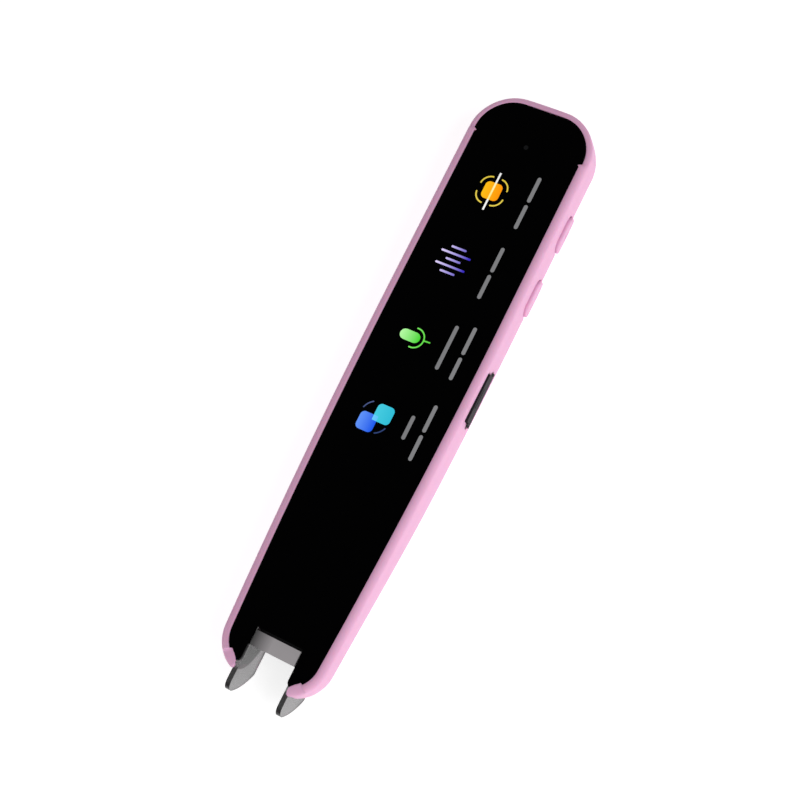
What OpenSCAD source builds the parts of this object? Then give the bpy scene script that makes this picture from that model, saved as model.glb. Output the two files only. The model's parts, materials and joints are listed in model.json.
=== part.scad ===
// Handheld scanning translator in a soft sleeve: a slim bar with a glass front,
// two side keys, a hinged port cover and a clear two-finned scanning fork.
// Millimetres. Origin: centre of the flat back face. +Z is the screen side,
// +Y the speaker end, +X the key side.

/* [Body] */
// Length of the sleeved body, without the fork
body_len = 150; // [147:1:160]
// Width across the straight part
body_w = 31.5; // [30.5:0.5:33]
// Thickness from the back face to the top of the side lips
body_t = 13.6; // [13.4:0.1:15]
// Width lost on each side at the tip
taper_loss = 2.8; // [2:0.1:3.4]
// Length over which the sides curve in
taper_len = 95; // [80:1:110]
// Corner radius at the speaker end, in plan
top_corner_r = 10.5; // [9.5:0.5:12]
// Corner radius at the tip, in plan
tip_corner_r = 9; // [8.6:0.1:9.8]
// Radius along the back edges
edge_r = 7; // [6.5:0.1:7.4]
// Radius of the back edge at both ends
end_r = 10; // [9:0.1:10.5]

/* [Sleeve] */
// Wall of the soft sleeve
sleeve_wall = 1.6; // [1.4:0.1:1.8]
// Height of the side lips above the glass
lip_h = 0.5; // [0.3:0.1:0.8]
// Overlap of the side lips on the glass
lip_overlap = 0.35; // [0.2:0.05:0.5]
// Rounding of the front rim
rim_r = 0.8; // [0.5:0.1:1]
// Distance of the lip step from the speaker end
lip_top_gap = 11.3; // [10:0.1:13]
// Distance of the lip step from the tip end
lip_tip_gap = 4.3; // [3.5:0.1:5]

/* [Housing] */
// Wall of the rigid housing
housing_wall = 1.2; // [1:0.1:1.4]
// Thickness of the cover glass
glass_t = 0.9; // [0.7:0.05:1.1]
// Thickness of the front frame plate
frame_t = 1.3; // [1.2:0.05:1.5]
// Play between the glass edge and the sleeve
glass_play = 0.05; // [0.02:0.01:0.1]

/* [Display] */
// Width of the display module
display_w = 22; // [18:0.5:22.5]
// Length of the display module
display_len = 90; // [70:1:92]
// Distance of the display from the speaker end
display_top_gap = 14; // [13:0.5:20]

/* [Keys] */
// Distance from the speaker end to the middle of the power key
power_key_d = 26.35; // [25:0.25:27]
// Distance from the speaker end to the middle of the home key
home_key_d = 43.4; // [42.5:0.25:45]
// Length of a key pad
key_len = 9; // [7:0.25:9.5]
// Height of a key pad
key_h = 5.2; // [4:0.1:5.6]
// Corner radius of a key pad
key_corner_r = 2.2; // [1.5:0.1:2.5]
// Height of a key pad above the sleeve
key_rise = 0.65; // [0.5:0.05:0.8]
// Travel of a key
key_travel = 0.4; // [0.2:0.05:0.4]
// Gap around a key pad
key_gap = 0.3; // [0.2:0.05:0.4]
// Height of the key line above the back face
key_z = 5.8; // [5.6:0.1:6.1]
// Distance from the speaker end to the microphone hole
mic_d = 34.8; // [34.6:0.1:35]
// Height of the microphone hole above the back face
mic_z = 5.1; // [4.9:0.1:5.6]
// Diameter of the microphone hole
mic_hole_d = 0.9; // [0.7:0.1:1.2]

/* [Port] */
// Distance from the speaker end to the middle of the port
port_d = 70.85; // [69.5:0.25:73]
// Length of the port cover
cover_len = 12.2; // [11.6:0.1:13]
// Height of the port cover
cover_h = 3.5; // [3.3:0.05:3.6]
// Height of the port cover above the sleeve
cover_rise = 0.4; // [0.2:0.05:0.6]
// Gap around the port cover
cover_gap = 0.15; // [0.1:0.05:0.2]
// Radius of the cover's hinge pin
cover_pin_r = 0.35; // [0.3:0.05:0.4]
// Radial running play of the cover on its pin
pin_play = 0.03; // [0.02:0.01:0.06]

/* [Speaker] */
// Number of speaker slots
slot_count = 6; // [4:1:6]
// Distance between neighbouring slots
slot_pitch = 2.5; // [2.2:0.1:2.6]
// Width of a slot
slot_w = 0.65; // [0.4:0.05:0.9]
// Length of a middle slot
slot_len = 14; // [10:0.5:15]
// How much shorter the outer slots are
slot_short = 1.3; // [0:0.1:2]
// Distance from the speaker end to the top of the slots
slot_top_d = 12.4; // [12:0.1:13.5]
// Depth of the flute around each slot
flute_depth = 0.35; // [0.2:0.05:0.5]

/* [Fork] */
// Distance between the inner faces of the two fins
fin_gap = 12.4; // [11.6:0.1:12.6]
// Thickness of a fin
fin_t = 1.2; // [1:0.1:1.4]
// Radius of the fins' curved back edge
fin_r = 16; // [15:0.25:16.5]
// Radius of a fin's rounded tip
fin_tip_r = 2.2; // [1.5:0.1:3]
// Reach of the fins past the sleeve
fin_reach = 4.6; // [3.5:0.1:6]
// Distance of the glass notch from the tip end of the sleeve
notch_len = 11.2; // [10.5:0.1:12]
// Length of the front bar between the fins
bar_len = 3.6; // [3:0.1:4.5]
// Length of the band across the back
band_len = 3; // [2.5:0.1:3.5]
// Distance of the band's upper edge from the tip end of the sleeve
band_d = 15.6; // [15:0.1:16.5]
// Travel of the fork
fork_travel = 0.5; // [0.3:0.05:0.5]
// Gap around the fork
fork_gap = 0.3; // [0.2:0.05:0.35]

/* [Hidden] */

$fn = 64;
// Overshoot of a cut past the face that it opens
over = 1;
// Distances in plan
top_y = body_len / 2;
tip_y = -body_len / 2;
side_x = body_w / 2;
taper_y = tip_y + taper_len;
// The tapering side is an arc of this radius, tangent to the straight side
side_r = (taper_len * taper_len + taper_loss * taper_loss) / (2 * taper_loss);
side_cx = side_x - side_r;
tip_cy = tip_y + tip_corner_r;
tip_cx = side_cx + sqrt(pow(side_r - tip_corner_r, 2) - pow(taper_y - tip_cy, 2));
taper_angle = asin((taper_y - tip_cy) / (side_r - tip_corner_r));
// Step from one curve of the outline to the next, so that their solids overlap
seam = 0.05;
top_cx = side_x - top_corner_r;
top_cy = top_y - top_corner_r;

// Levels
housing_inset = sleeve_wall;
inner_inset = sleeve_wall + housing_wall;
floor_z = inner_inset;
glass_top = body_t - lip_h;
glass_z = glass_top - glass_t;
split_z = glass_z - frame_t;
display_gap = 0.05;
display_z = split_z + display_gap;
display_h = frame_t - 2 * display_gap;
backlight_h = display_h / 2;

// Keys and microphone
power_key_y = top_y - power_key_d;
home_key_y = top_y - home_key_d;
mic_y = top_y - mic_d;
key_inner_inset = 1.1;
plunger_r = 0.9;
plunger_play = 0.15;
plunger_head_r = 1.3;
plunger_head_t = 0.5;
plunger_x = side_x - inner_inset - 1.5;
switch_reserve = 0.05;
switch_nose_x = plunger_x - key_travel - switch_reserve;
switch_body = [1.6, 4.6, 2.6];
switch_nose_len = 0.4;
switch_nose_r = 0.6;
key_flex_t = 0.2;
key_flex_end = 4;
key_flex_x = switch_nose_x - switch_nose_len - switch_body[0];

// Port: a 24-contact reversible receptacle of the standard size
port_y = top_y - port_d;
usb_w = 8.94;
usb_h = 3.26;
usb_depth = 7.35;
usb_shell = 0.25;
usb_play = 0.1;
usb_z = split_z - 0.15 - usb_h / 2;
usb_face_x = side_x - housing_inset - 0.6;
tongue = [5, 6.69, 0.7];
board_z = usb_z - usb_h / 2;
board_t = 0.8;
cover_z = usb_z;
cover_top_x = side_x + cover_rise;
cover_round = 0.65;
pivot_x = cover_top_x - cover_round;
pivot_z = cover_z - cover_h / 2 + cover_round;
cover_inner_x = side_x - sleeve_wall + 0.2;
cover_rebate = 0.3;
lug_t = 0.7;
lug_gap = 0.15;
lug_r = 0.65;
notch_r = lug_r + 0.15;
pocket_depth = 0.45;
pin_len = cover_len + 2 * (lug_gap + lug_t);

// Speaker
slot_top_y = top_y - slot_top_d;
slot_y = slot_top_y - slot_len / 2;
flute_len = slot_len + 7.5;
flute_sweep_r = (flute_len * flute_len / 4 + flute_depth * flute_depth) / (2 * flute_depth);
flute_w = 1.6;
speaker_w = 2 * min(side_x - edge_r, key_flex_x - key_flex_t - 0.25);
speaker_len = 16;
driver_h = 2.2;
mesh_t = 0.2;
chamber_h = board_z - board_t - floor_z - mesh_t - driver_h - 0.12;

// Fork and nose
notch_y = tip_y + notch_len;
fin_in = fin_gap / 2;
fin_out = fin_in + fin_t;
fin_cy = tip_y - fin_reach + fin_r;
fin_cz = glass_top;
fin_top_z = glass_z - fork_gap;
fork_back_z = 0.9;
band_top_y = tip_y + band_d;
band_t = 1.7;
band_corner_r = 2.2;
bar_top_y = notch_y - fork_travel - fork_gap / 2;
bar_top_z = glass_top - 0.2;
bar_z = split_z - 0.2;
bar_half = fin_in - fork_gap;
nose_half = fin_in - fork_gap;
nose_wall = 0.8;
nose_z = fork_back_z + band_t + fork_gap;
nose_top_z = bar_z - fork_gap;
nose_low_y = band_top_y - band_len;
nose_tip_y = bar_top_y - bar_len + 1.8;
bulkhead_t = 1;
bulkhead_y = band_top_y + 4.8;
slot_half = fin_out + fork_gap;
recess_half = fin_out + 0.75;
recess_gap = 0.8 + fork_travel;
spring_z = 9.4;
spring_r = 0.75;
spring_wire_r = 0.14;
spring_turns = 5;
plunger_arm = 1.2;
plunger_arm_z = 6.4;
catch_t = 0.6;
fork_plunger_end = bulkhead_y + bulkhead_t + 3.4;

// Camera
lens_z = (nose_z + nose_top_z) / 2;
barrel_r = 2.6;
barrel_wall = 0.6;
barrel_len = 7;
lens_r = barrel_r - barrel_wall;
barrel_front_y = bulkhead_y - 2.2;
window_t = 0.8;

// Screws
screw_x = 9.1;
screw_top_y = top_y - 8.2;
screw_low_y = bulkhead_y + 6.2;
screw_r = 0.7;
screw_head_r = 1.25;
screw_head_h = 0.6;
screw_len = 7;
boss_r = 1.5;

// Board and battery
board_top_y = screw_top_y - boss_r - 0.5;
board_low_y = screw_low_y + boss_r + 0.4;
board_half = side_x - inner_inset - 1.6;
battery_w = 2 * (side_x - edge_r + 0.6);
battery_len = 50;
battery_h = board_z - board_t - 0.4 - floor_z - 0.3;
battery_top_y = home_key_y - 9;
pad_t = 0.3;

// ---------- shapes ----------

// Half section of a wall: r from r_in to r_out, back edge radius e, front edge radius f
module section(r_in, r_out, e, f, z_lo, z_hi) {
    difference() {
        translate([r_in, z_lo]) square([r_out - r_in, z_hi - z_lo]);
        translate([r_out - e, z_lo - over]) square([e + over, e + over]);
        if (f > 0) translate([r_out - f, z_hi - f]) square([f + over, f + over]);
    }
    intersection() {
        translate([r_out - e, z_lo + e]) circle(e);
        translate([r_out - e, z_lo]) square([e, e]);
    }
    if (f > 0) intersection() {
        translate([r_out - f, z_hi - f]) circle(f);
        translate([r_out - f, z_hi - f]) square([f, f]);
    }
}

// Right half of the body's form
module half_pod(inset, z_hi, f) {
    e = edge_r - inset;
    // straight side
    translate([0, top_cy, 0]) rotate([90, 0, 0])
        linear_extrude(top_cy - taper_y) section(0, side_x - inset, e, f, inset, z_hi);
    // speaker end
    rotate([90, 0, 90]) linear_extrude(top_cx) section(top_cy, top_y - inset, e, f, inset, z_hi);
    translate([top_cx, top_cy, 0]) rotate_extrude(angle = 90)
        section(0, top_corner_r - inset, e, f, inset, z_hi);
    // side that curves in, run on a little inside the straight side
    translate([side_cx, taper_y, 0])
        rotate_extrude(start = -taper_angle, angle = taper_angle + 0.2, $fn = 1440)
            section(tip_cx - side_cx - 2, side_r - inset - seam, e, f, inset, z_hi);
    translate([0, tip_cy, inset]) cube([tip_cx, taper_y - tip_cy, z_hi - inset]);
    // tip, run on inside the curved side
    translate([tip_cx, tip_cy, 0]) rotate_extrude(start = -90, angle = 98 - taper_angle)
        section(0, tip_corner_r - inset - 2 * seam, e, f, inset, z_hi);
    mirror([0, 1, 0]) rotate([90, 0, 90]) linear_extrude(tip_cx)
        section(-tip_cy, -tip_y - inset - 2 * seam, e, f, inset, z_hi);
}

// The body's form, drawn in by an inset on every side but the front
module pod(inset, z_hi, f = 0) {
    difference() {
        union() {
            half_pod(inset, z_hi, f);
            mirror([1, 0, 0]) half_pod(inset, z_hi, f);
        }
        end_round(top_y - inset, inset);
        mirror([0, 1, 0]) end_round(-tip_y - inset, inset);
    }
}

// Takes the back edge off an end, whose face is at y, to a larger radius than the sides have
module end_round(y, inset) {
    r = end_r - inset;
    translate([0, y - r, inset + r]) rotate([90, 0, 90]) translate([0, 0, -body_w]) linear_extrude(2 * body_w)
        difference() {
            translate([0, -r - over]) square([r + over, r + over]);
            circle(r + seam);
        }
}

// Everything between two levels of the body's form
module pod_slice(inset, z_lo, z_hi) {
    intersection() {
        pod(inset, z_hi);
        translate([-body_w, -body_len, z_lo]) cube([2 * body_w, 2 * body_len, z_hi - z_lo]);
    }
}

module rounded_rect(w, h, r) {
    square([w - 2 * r, h], center = true);
    square([w, h - 2 * r], center = true);
    for (x = [-1, 1], y = [-1, 1]) translate([x * (w / 2 - r), y * (h / 2 - r)]) circle(r);
}

// A prism along +X whose section is len along Y and h along Z
module side_prism(x, y, z, depth, len, h, r) {
    translate([x, y, z]) rotate([90, 0, 90]) linear_extrude(depth) rounded_rect(len, h, r);
}

module rod_x(x, y, z, len, r) {
    translate([x, y, z]) rotate([0, 90, 0]) cylinder(h = len, r = r);
}

module rod_y(x, y, z, len, r) {
    translate([x, y, z]) rotate([-90, 0, 0]) cylinder(h = len, r = r);
}

// A box given by its middle in X, and its low corner in Y and Z
module slab(w, y, len, z, h, x = 0) {
    translate([x - w / 2, y, z]) cube([w, len, h]);
}

// ---------- sleeve and shells ----------

module speaker_cuts(depth) {
    for (i = [0:slot_count - 1]) {
        x = (i - (slot_count - 1) / 2) * slot_pitch;
        outer = i == 0 || i == slot_count - 1;
        len = slot_len - (outer ? slot_short : 0);
        translate([x, slot_y, -over]) linear_extrude(depth + over) {
            square([slot_w, len - slot_w], center = true);
            for (s = [-1, 1]) translate([0, s * (len - slot_w) / 2]) circle(slot_w / 2);
        }
    }
}

// A shallow groove round each slot that fades out at both ends
module flutes() {
    for (i = [0:slot_count - 1])
        rod_x((i - (slot_count - 1) / 2) * slot_pitch - flute_w / 2, slot_y - 0.7, flute_depth - flute_sweep_r,
            flute_w, flute_sweep_r, $fn = 1440);
}

module key_window(y, gap) {
    side_prism(side_x - 4, y, key_z, 6, key_len + 2 * gap, key_h + 2 * gap, key_corner_r + gap);
}

module fork_recess(half, y, z_lo, z_hi) {
    translate([0, 0, z_lo]) linear_extrude(z_hi - z_lo) {
        translate([-half, tip_y - over]) square([2 * half, y - band_corner_r - tip_y + over]);
        translate([-half + band_corner_r, tip_y]) square([2 * (half - band_corner_r), y - tip_y]);
        for (s = [-1, 1]) translate([s * (half - band_corner_r), y - band_corner_r]) circle(band_corner_r);
    }
}

module silicone_sleeve() {
    color([0.95, 0.73, 0.87]) difference() {
        pod(0, body_t, rim_r);
        pod(housing_inset, glass_top);
        pod_slice(housing_inset + lip_overlap, glass_top - over, body_t + over);
        // the rim is lower and narrower round both ends
        for (y = [top_y - lip_top_gap, tip_y + lip_tip_gap - 40]) intersection() {
            pod_slice(housing_inset, glass_top - over, body_t + over);
            translate([-body_w, y, 0]) cube([2 * body_w, 40, 2 * body_t]);
        }
        for (y = [top_y - lip_top_gap, tip_y + lip_tip_gap - 40])
            translate([-body_w, y, glass_top + 0.1]) cube([2 * body_w, 40, body_t]);
        key_window(power_key_y, key_gap);
        key_window(home_key_y, key_gap);
        rod_x(side_x - 4, mic_y, mic_z, 6, mic_hole_d / 2);
        side_prism(side_x - 4, port_y, cover_z, 6, cover_len + 2 * cover_gap, cover_h + 2 * cover_gap, 0.45);
        // round notches for the hinge lugs
        for (s = [-1, 1]) rod_x(side_x - 4, port_y + s * (pin_len - lug_t) / 2, pivot_z, 6, notch_r);
        speaker_cuts(2 * sleeve_wall);
        flutes();
        fork_recess(recess_half, band_top_y + recess_gap, -over, 4);
        fork_recess(slot_half + 0.1, band_top_y + recess_gap, 3, body_t + over);
    }
}

module nose_outline(w, x0) {
    translate([x0, 0, 0]) rotate([90, 0, 90]) linear_extrude(w)
        polygon([[bulkhead_y + bulkhead_t, nose_z], [nose_low_y, nose_z],
            [nose_tip_y, nose_top_z], [bulkhead_y + bulkhead_t, nose_top_z]]);
}

module nose_hollow(w) {
    translate([-w / 2, 0, 0]) rotate([90, 0, 90]) linear_extrude(w)
        polygon([[bulkhead_y - over, nose_z + nose_wall], [nose_low_y - 3, nose_z + nose_wall],
            [nose_tip_y - 3, nose_top_z - nose_wall], [bulkhead_y - over, nose_top_z - nose_wall]]);
}

module rear_housing() {
    color([0.07, 0.07, 0.08]) difference() {
        union() {
            difference() {
                pod(housing_inset, split_z);
                difference() {
                    pod(inner_inset, split_z + over);
                    // bulkhead that carries the nose
                    translate([-body_w, bulkhead_y, 0]) cube([2 * body_w, bulkhead_t, split_z]);
                    for (x = [-screw_x, screw_x], y = [screw_low_y, screw_top_y])
                        translate([x, y, 0]) cylinder(h = split_z, r = boss_r);
                }
            }
            // hinge lugs of the port cover
            for (s = [-1, 1]) {
                y = port_y + s * (pin_len - lug_t) / 2 - lug_t / 2;
                rod_y(pivot_x, y, pivot_z, lug_t, lug_r);
                translate([side_x - inner_inset + 0.2, y, pivot_z - lug_r])
                    cube([pivot_x - side_x + inner_inset - 0.2, lug_t, 2 * lug_r]);
            }
        }
        // the tip is open for the fork
        fork_recess(slot_half, band_top_y + fork_travel + fork_gap, -over, floor_z + 2);
        translate([-slot_half, tip_y - over, 0]) cube([2 * slot_half, 8, 2 * body_t]);
        translate([-nose_half + nose_wall, bulkhead_y - over, nose_z + nose_wall])
            cube([2 * (nose_half - nose_wall), bulkhead_t + 2 * over, nose_top_z - nose_z - 2 * nose_wall]);
        // way for the fork's plunger
        slab(plunger_arm + 0.6, bulkhead_y - over, bulkhead_t + 2 * over,
            plunger_arm_z - plunger_arm / 2 - 0.3, plunger_arm + 0.6, fin_in + fin_t / 2);
        for (x = [-screw_x, screw_x], y = [screw_low_y, screw_top_y])
            translate([x, y, split_z - screw_len]) cylinder(h = screw_len + over, r = screw_r);
        rod_x(side_x - 6, power_key_y, key_z, 6, plunger_r + plunger_play);
        rod_x(side_x - 6, home_key_y, key_z, 6, plunger_r + plunger_play);
        rod_x(side_x - 6, mic_y, mic_z, 6, mic_hole_d / 2);
        side_prism(side_x - 4, port_y, usb_z, 6, usb_w + 2 * usb_play, usb_h + 2 * usb_play, usb_h / 2);
        translate([side_x - housing_inset - pocket_depth, port_y - cover_len / 2 - lug_gap, cover_z - cover_h / 2 - 0.2])
            cube([pocket_depth + over, cover_len + 2 * lug_gap, cover_h]);
        rod_y(pivot_x, port_y - pin_len / 2 - over, pivot_z, pin_len + 2 * over, cover_pin_r);
        speaker_cuts(floor_z + over);
    }
    color([0.07, 0.07, 0.08]) difference() {
        nose_outline(2 * nose_half, -nose_half);
        nose_hollow(2 * (nose_half - nose_wall));
        slab(2 * (nose_half - nose_wall), bulkhead_y - over, bulkhead_t + 2 * over,
            nose_z + nose_wall, nose_top_z - nose_z - 2 * nose_wall);
    }
}

module ear_cut(z_lo, z_hi, inset, half, r) {
    reach = tip_corner_r - inset - r;
    dx = half + r - tip_cx;
    cy = tip_cy - sqrt(reach * reach - dx * dx);
    difference() {
        translate([half - over, tip_y - over, z_lo]) cube([r + over, cy - tip_y + over, z_hi - z_lo]);
        translate([half + r, cy, z_lo - over]) cylinder(h = z_hi - z_lo + 2 * over, r = r);
    }
}

module front_frame() {
    display_top_y = top_y - display_top_gap;
    color([0.08, 0.08, 0.09]) difference() {
        pod_slice(housing_inset + glass_play, split_z, glass_z);
        slab(display_w + 0.6, display_top_y - display_len - 0.3, display_len + 0.6, split_z - over, frame_t + 2 * over);
        translate([-slot_half, tip_y - over, split_z - over])
            cube([2 * slot_half, band_top_y + fork_travel + fork_gap - tip_y + over, frame_t + 2 * over]);
        for (x = [-screw_x, screw_x], y = [screw_low_y, screw_top_y]) {
            translate([x, y, split_z - over]) cylinder(h = frame_t + 2 * over, r = screw_r + 0.15);
            translate([x, y, glass_z - screw_head_h - 0.05]) cylinder(h = screw_head_h + over, r = screw_head_r + 0.1);
        }
    }
}

module cover_glass() {
    inset = housing_inset + glass_play;
    color([0.01, 0.01, 0.015]) difference() {
        pod_slice(inset, glass_z, glass_top);
        translate([-fin_in, tip_y - over, glass_z - over]) cube([2 * fin_in, notch_len + over, glass_t + 2 * over]);
        for (m = [0, 1]) mirror([m, 0, 0]) ear_cut(glass_z - over, glass_top + over, inset, fin_in, 1.3);
    }
}

// ---------- display and electronics ----------

display_y = top_y - display_top_gap - display_len;

module backlight_unit() {
    color([0.8, 0.8, 0.82]) slab(display_w, display_y, display_len, display_z, backlight_h);
}

module lcd_panel() {
    color([0.05, 0.05, 0.08]) slab(display_w - 0.6, display_y + 0.3, display_len - 0.6,
        display_z + backlight_h, display_h - backlight_h);
}

// Flat cable that leaves the panel's lower end and folds down to the board
module display_flex() {
    w = 9;
    t = 0.15;
    y = display_y - 0.1;
    color([0.85, 0.55, 0.2]) {
        slab(w, y, 0.8, display_z - t, t);
        slab(w, y - t, t, board_z + 0.9, display_z - board_z - 0.9);
        slab(w, y - t, 3.2, board_z + 0.9 - t, t);
    }
}

module main_board() {
    color([0.05, 0.25, 0.15]) difference() {
        slab(2 * board_half, board_low_y, board_top_y - board_low_y, board_z - board_t, board_t);
        for (s = [-1, 1]) translate([s * (board_half - 1.5), board_top_y - 6, board_z - board_t - over])
            cylinder(h = board_t + 2 * over, r = 0.6);
        // room for the key switches
        translate([key_flex_x - key_flex_t - 0.2, home_key_y - key_flex_end - 0.3, board_z - board_t - over])
            cube([side_x, power_key_y - home_key_y + 2 * key_flex_end + 0.6, board_t + 2 * over]);
    }
}

module processor_shield() {
    color([0.75, 0.76, 0.78]) difference() {
        slab(16, port_y - 30, 20, board_z, 1.5);
        for (x = [-4, 0, 4], y = [5, 10, 15])
            translate([x, port_y - 30 + y, board_z + 1]) cylinder(h = 2, r = 0.5);
    }
}

module memory_chips() {
    color([0.1, 0.1, 0.11]) {
        slab(9, port_y + 8, 11, board_z, 1.0, -4);
        slab(7, port_y + 22, 7, board_z, 0.9, 4);
    }
}

module board_connectors() {
    color([0.85, 0.83, 0.75]) {
        slab(10, display_y - 0.2, 2.4, board_z, 0.75);
        slab(5, battery_top_y + 3.4, 2.6, board_z - board_t - 1.2, 1.2, -5);
    }
}

module battery() {
    color([0.7, 0.71, 0.73]) translate([0, battery_top_y - battery_len / 2, floor_z + pad_t])
        linear_extrude(battery_h) rounded_rect(battery_w, battery_len, 1);
}

module battery_pad() {
    color([0.2, 0.2, 0.2]) slab(battery_w - 6, battery_top_y - battery_len + 4, battery_len - 8, floor_z, pad_t);
}

module battery_protection_board() {
    color([0.1, 0.35, 0.2]) slab(battery_w - 5, battery_top_y, 2.2, floor_z + pad_t + 0.6, battery_h - 1.4);
}

module speaker_mesh() {
    color([0.45, 0.2, 0.35]) slab(speaker_w, slot_y - speaker_len / 2, speaker_len, floor_z, mesh_t);
}

module speaker_driver() {
    color([0.25, 0.25, 0.27]) translate([0, slot_y, floor_z + mesh_t]) difference() {
        linear_extrude(driver_h) rounded_rect(speaker_w, speaker_len, 2);
        translate([0, 0, -over]) cylinder(h = over + 0.6, r = 6);
    }
}

module speaker_box() {
    color([0.12, 0.12, 0.13]) translate([0, slot_y, floor_z + mesh_t + driver_h]) difference() {
        linear_extrude(chamber_h) rounded_rect(speaker_w, speaker_len, 2);
        translate([0, 0, -over]) linear_extrude(chamber_h - 0.7 + over)
            rounded_rect(speaker_w - 1.6, speaker_len - 1.6, 1.2);
    }
}

// ---------- port ----------

module usb_receptacle() {
    color([0.75, 0.76, 0.78]) difference() {
        side_prism(usb_face_x - usb_depth, port_y, usb_z, usb_depth, usb_w, usb_h, usb_h / 2 - 0.01);
        side_prism(usb_face_x - usb_depth + 0.8, port_y, usb_z, usb_depth, usb_w - 2 * usb_shell,
            usb_h - 2 * usb_shell, usb_h / 2 - usb_shell - 0.01);
    }
}

module usb_tongue() {
    color([0.06, 0.06, 0.07]) translate([usb_face_x - usb_depth + 0.8, port_y - tongue[1] / 2, usb_z - tongue[2] / 2])
        cube(tongue);
}

module port_cover() {
    h = cover_h;
    color([0.18, 0.17, 0.19]) difference() {
        union() {
            translate([cover_inner_x, port_y - cover_len / 2, pivot_z]) cube([pivot_x - cover_inner_x, cover_len, h - 1.3]);
            translate([pivot_x, port_y - cover_len / 2, pivot_z]) cube([cover_round, cover_len, h - 1.3]);
            side_prism(cover_inner_x, port_y, cover_z + 0.3, cover_top_x - cover_inner_x, cover_len, h - 0.6, 0.6);
            rod_y(pivot_x, port_y - cover_len / 2, pivot_z, cover_len, cover_round);
        }
        rod_y(pivot_x, port_y - cover_len, pivot_z, 2 * cover_len, cover_pin_r + pin_play);
        // rebate that lets the inner edge swing out
        translate([cover_inner_x - over, port_y - cover_len, cover_z + h / 2 - cover_rebate])
            cube([pivot_x - 0.5 - cover_inner_x + over, 2 * cover_len, 2 * cover_rebate]);
        // finger nail groove along the free edge
        translate([cover_top_x - 0.25, port_y - 2.5, cover_z + h / 2 - 0.9]) cube([1, 5, 0.4]);
    }
}

module port_cover_pin() {
    color([0.7, 0.7, 0.72]) rod_y(pivot_x, port_y - pin_len / 2, pivot_z, pin_len, cover_pin_r);
}

// ---------- keys and microphone ----------

module key_pad(y) {
    color([0.95, 0.72, 0.86]) difference() {
        intersection() {
            pod(-key_rise, body_t);
            side_prism(side_x - 4, y, key_z, 6, key_len, key_h, key_corner_r);
        }
        pod(key_inner_inset, body_t);
    }
}

module key_plunger(y) {
    stem_end = side_x - key_inner_inset;
    color([0.12, 0.12, 0.13]) difference() {
        union() {
            rod_x(plunger_x, y, key_z, stem_end - plunger_x, plunger_r);
            rod_x(plunger_x, y, key_z, plunger_head_t, plunger_head_r);
        }
        difference() {
            translate([side_x - 3, y - 3, key_z - 3]) cube([6, 6, 6]);
            pod(key_inner_inset, body_t);
        }
    }
}

module power_key_pad() { key_pad(power_key_y); }
module home_key_pad() { key_pad(home_key_y); }
module power_key_plunger() { key_plunger(power_key_y); }
module home_key_plunger() { key_plunger(home_key_y); }

module key_switches() {
    body_x = key_flex_x;
    for (y = [power_key_y, home_key_y]) color([0.65, 0.66, 0.68]) {
        translate([body_x, y - switch_body[1] / 2, key_z - switch_body[2] / 2]) cube(switch_body);
        rod_x(body_x + switch_body[0], y, key_z, switch_nose_len, switch_nose_r);
    }
}

module key_flex() {
    color([0.85, 0.55, 0.2]) translate([key_flex_x - key_flex_t, home_key_y - key_flex_end, key_z - 1.5])
        cube([key_flex_t, power_key_y - home_key_y + 2 * key_flex_end, 3]);
}

module microphone() {
    color([0.75, 0.72, 0.6]) translate([key_flex_x, mic_y - 1.5, mic_z - 1.1]) difference() {
        cube([1.1, 3, 2.2]);
        rod_x(0.8, 1.5, 1.1, 1, 0.25);
    }
}

module microphone_boot() {
    x = key_flex_x + 1.1;
    color([0.15, 0.15, 0.16]) difference() {
        rod_x(x, mic_y, mic_z, side_x - inner_inset - 1.2 - x, 0.9);
        rod_x(x - 1, mic_y, mic_z, 6, mic_hole_d / 2);
    }
}

// ---------- fork and scanner ----------

// Side view of a fin: a straight front edge, a rounded tip and a curved back edge
module fin_side() {
    tip_r = fin_r - fin_tip_r;
    tip_cz = fin_top_z - fin_tip_r;
    dy = sqrt(tip_r * tip_r - pow(fin_cz - tip_cz, 2));
    tip_c = [fin_cy - dy, tip_cz];
    difference() {
        intersection() {
            translate([fin_cy - 2 * fin_r, fork_back_z]) square([2 * fin_r + band_top_y - fin_cy, fin_top_z - fork_back_z]);
            union() {
                translate([fin_cy, fin_cz]) circle(fin_r, $fn = 180);
                translate([fin_cy, fork_back_z]) square([2 * fin_r, fin_r]);
            }
        }
        polygon([tip_c, tip_c + [0, 2 * fin_tip_r], tip_c + [-3 * fin_tip_r, 2 * fin_tip_r],
            tip_c + 4 * fin_tip_r * [-dy, -(fin_cz - tip_cz)] / tip_r]);
    }
    translate(tip_c) circle(fin_tip_r);
}

module scan_fork() {
    color([0.5, 0.5, 0.52, 0.55]) intersection() {
        union() {
            for (x = [-fin_out, fin_in]) translate([x, 0, 0]) rotate([90, 0, 90]) linear_extrude(fin_t) fin_side();
            slab(2 * fin_out, band_top_y - band_len, band_len, fork_back_z, band_t);
            slab(2 * bar_half, bar_top_y - bar_len, bar_len, bar_z, bar_top_z - bar_z);
            slab(2 * fin_in + 0.2, bar_top_y - bar_len, bar_len, bar_z, fin_top_z - bar_z);
        }
        union() {
            fork_recess(fin_out, band_top_y, 0, body_t);
            translate([-body_w, tip_y - 10, 0]) cube([2 * body_w, 12, body_t]);
        }
    }
}

// Arm on the key-side fin that reaches through the bulkhead to the tip switch
module fork_plunger() {
    x = fin_in + fin_t / 2;
    color([0.15, 0.15, 0.16]) {
        slab(plunger_arm, band_top_y, fork_plunger_end - band_top_y, plunger_arm_z - plunger_arm / 2, plunger_arm, x);
        slab(plunger_arm + 1.6, bulkhead_y + bulkhead_t + 0.1, catch_t, plunger_arm_z - plunger_arm / 2 - 0.8,
            plunger_arm + 1.6, x);
    }
}

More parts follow.
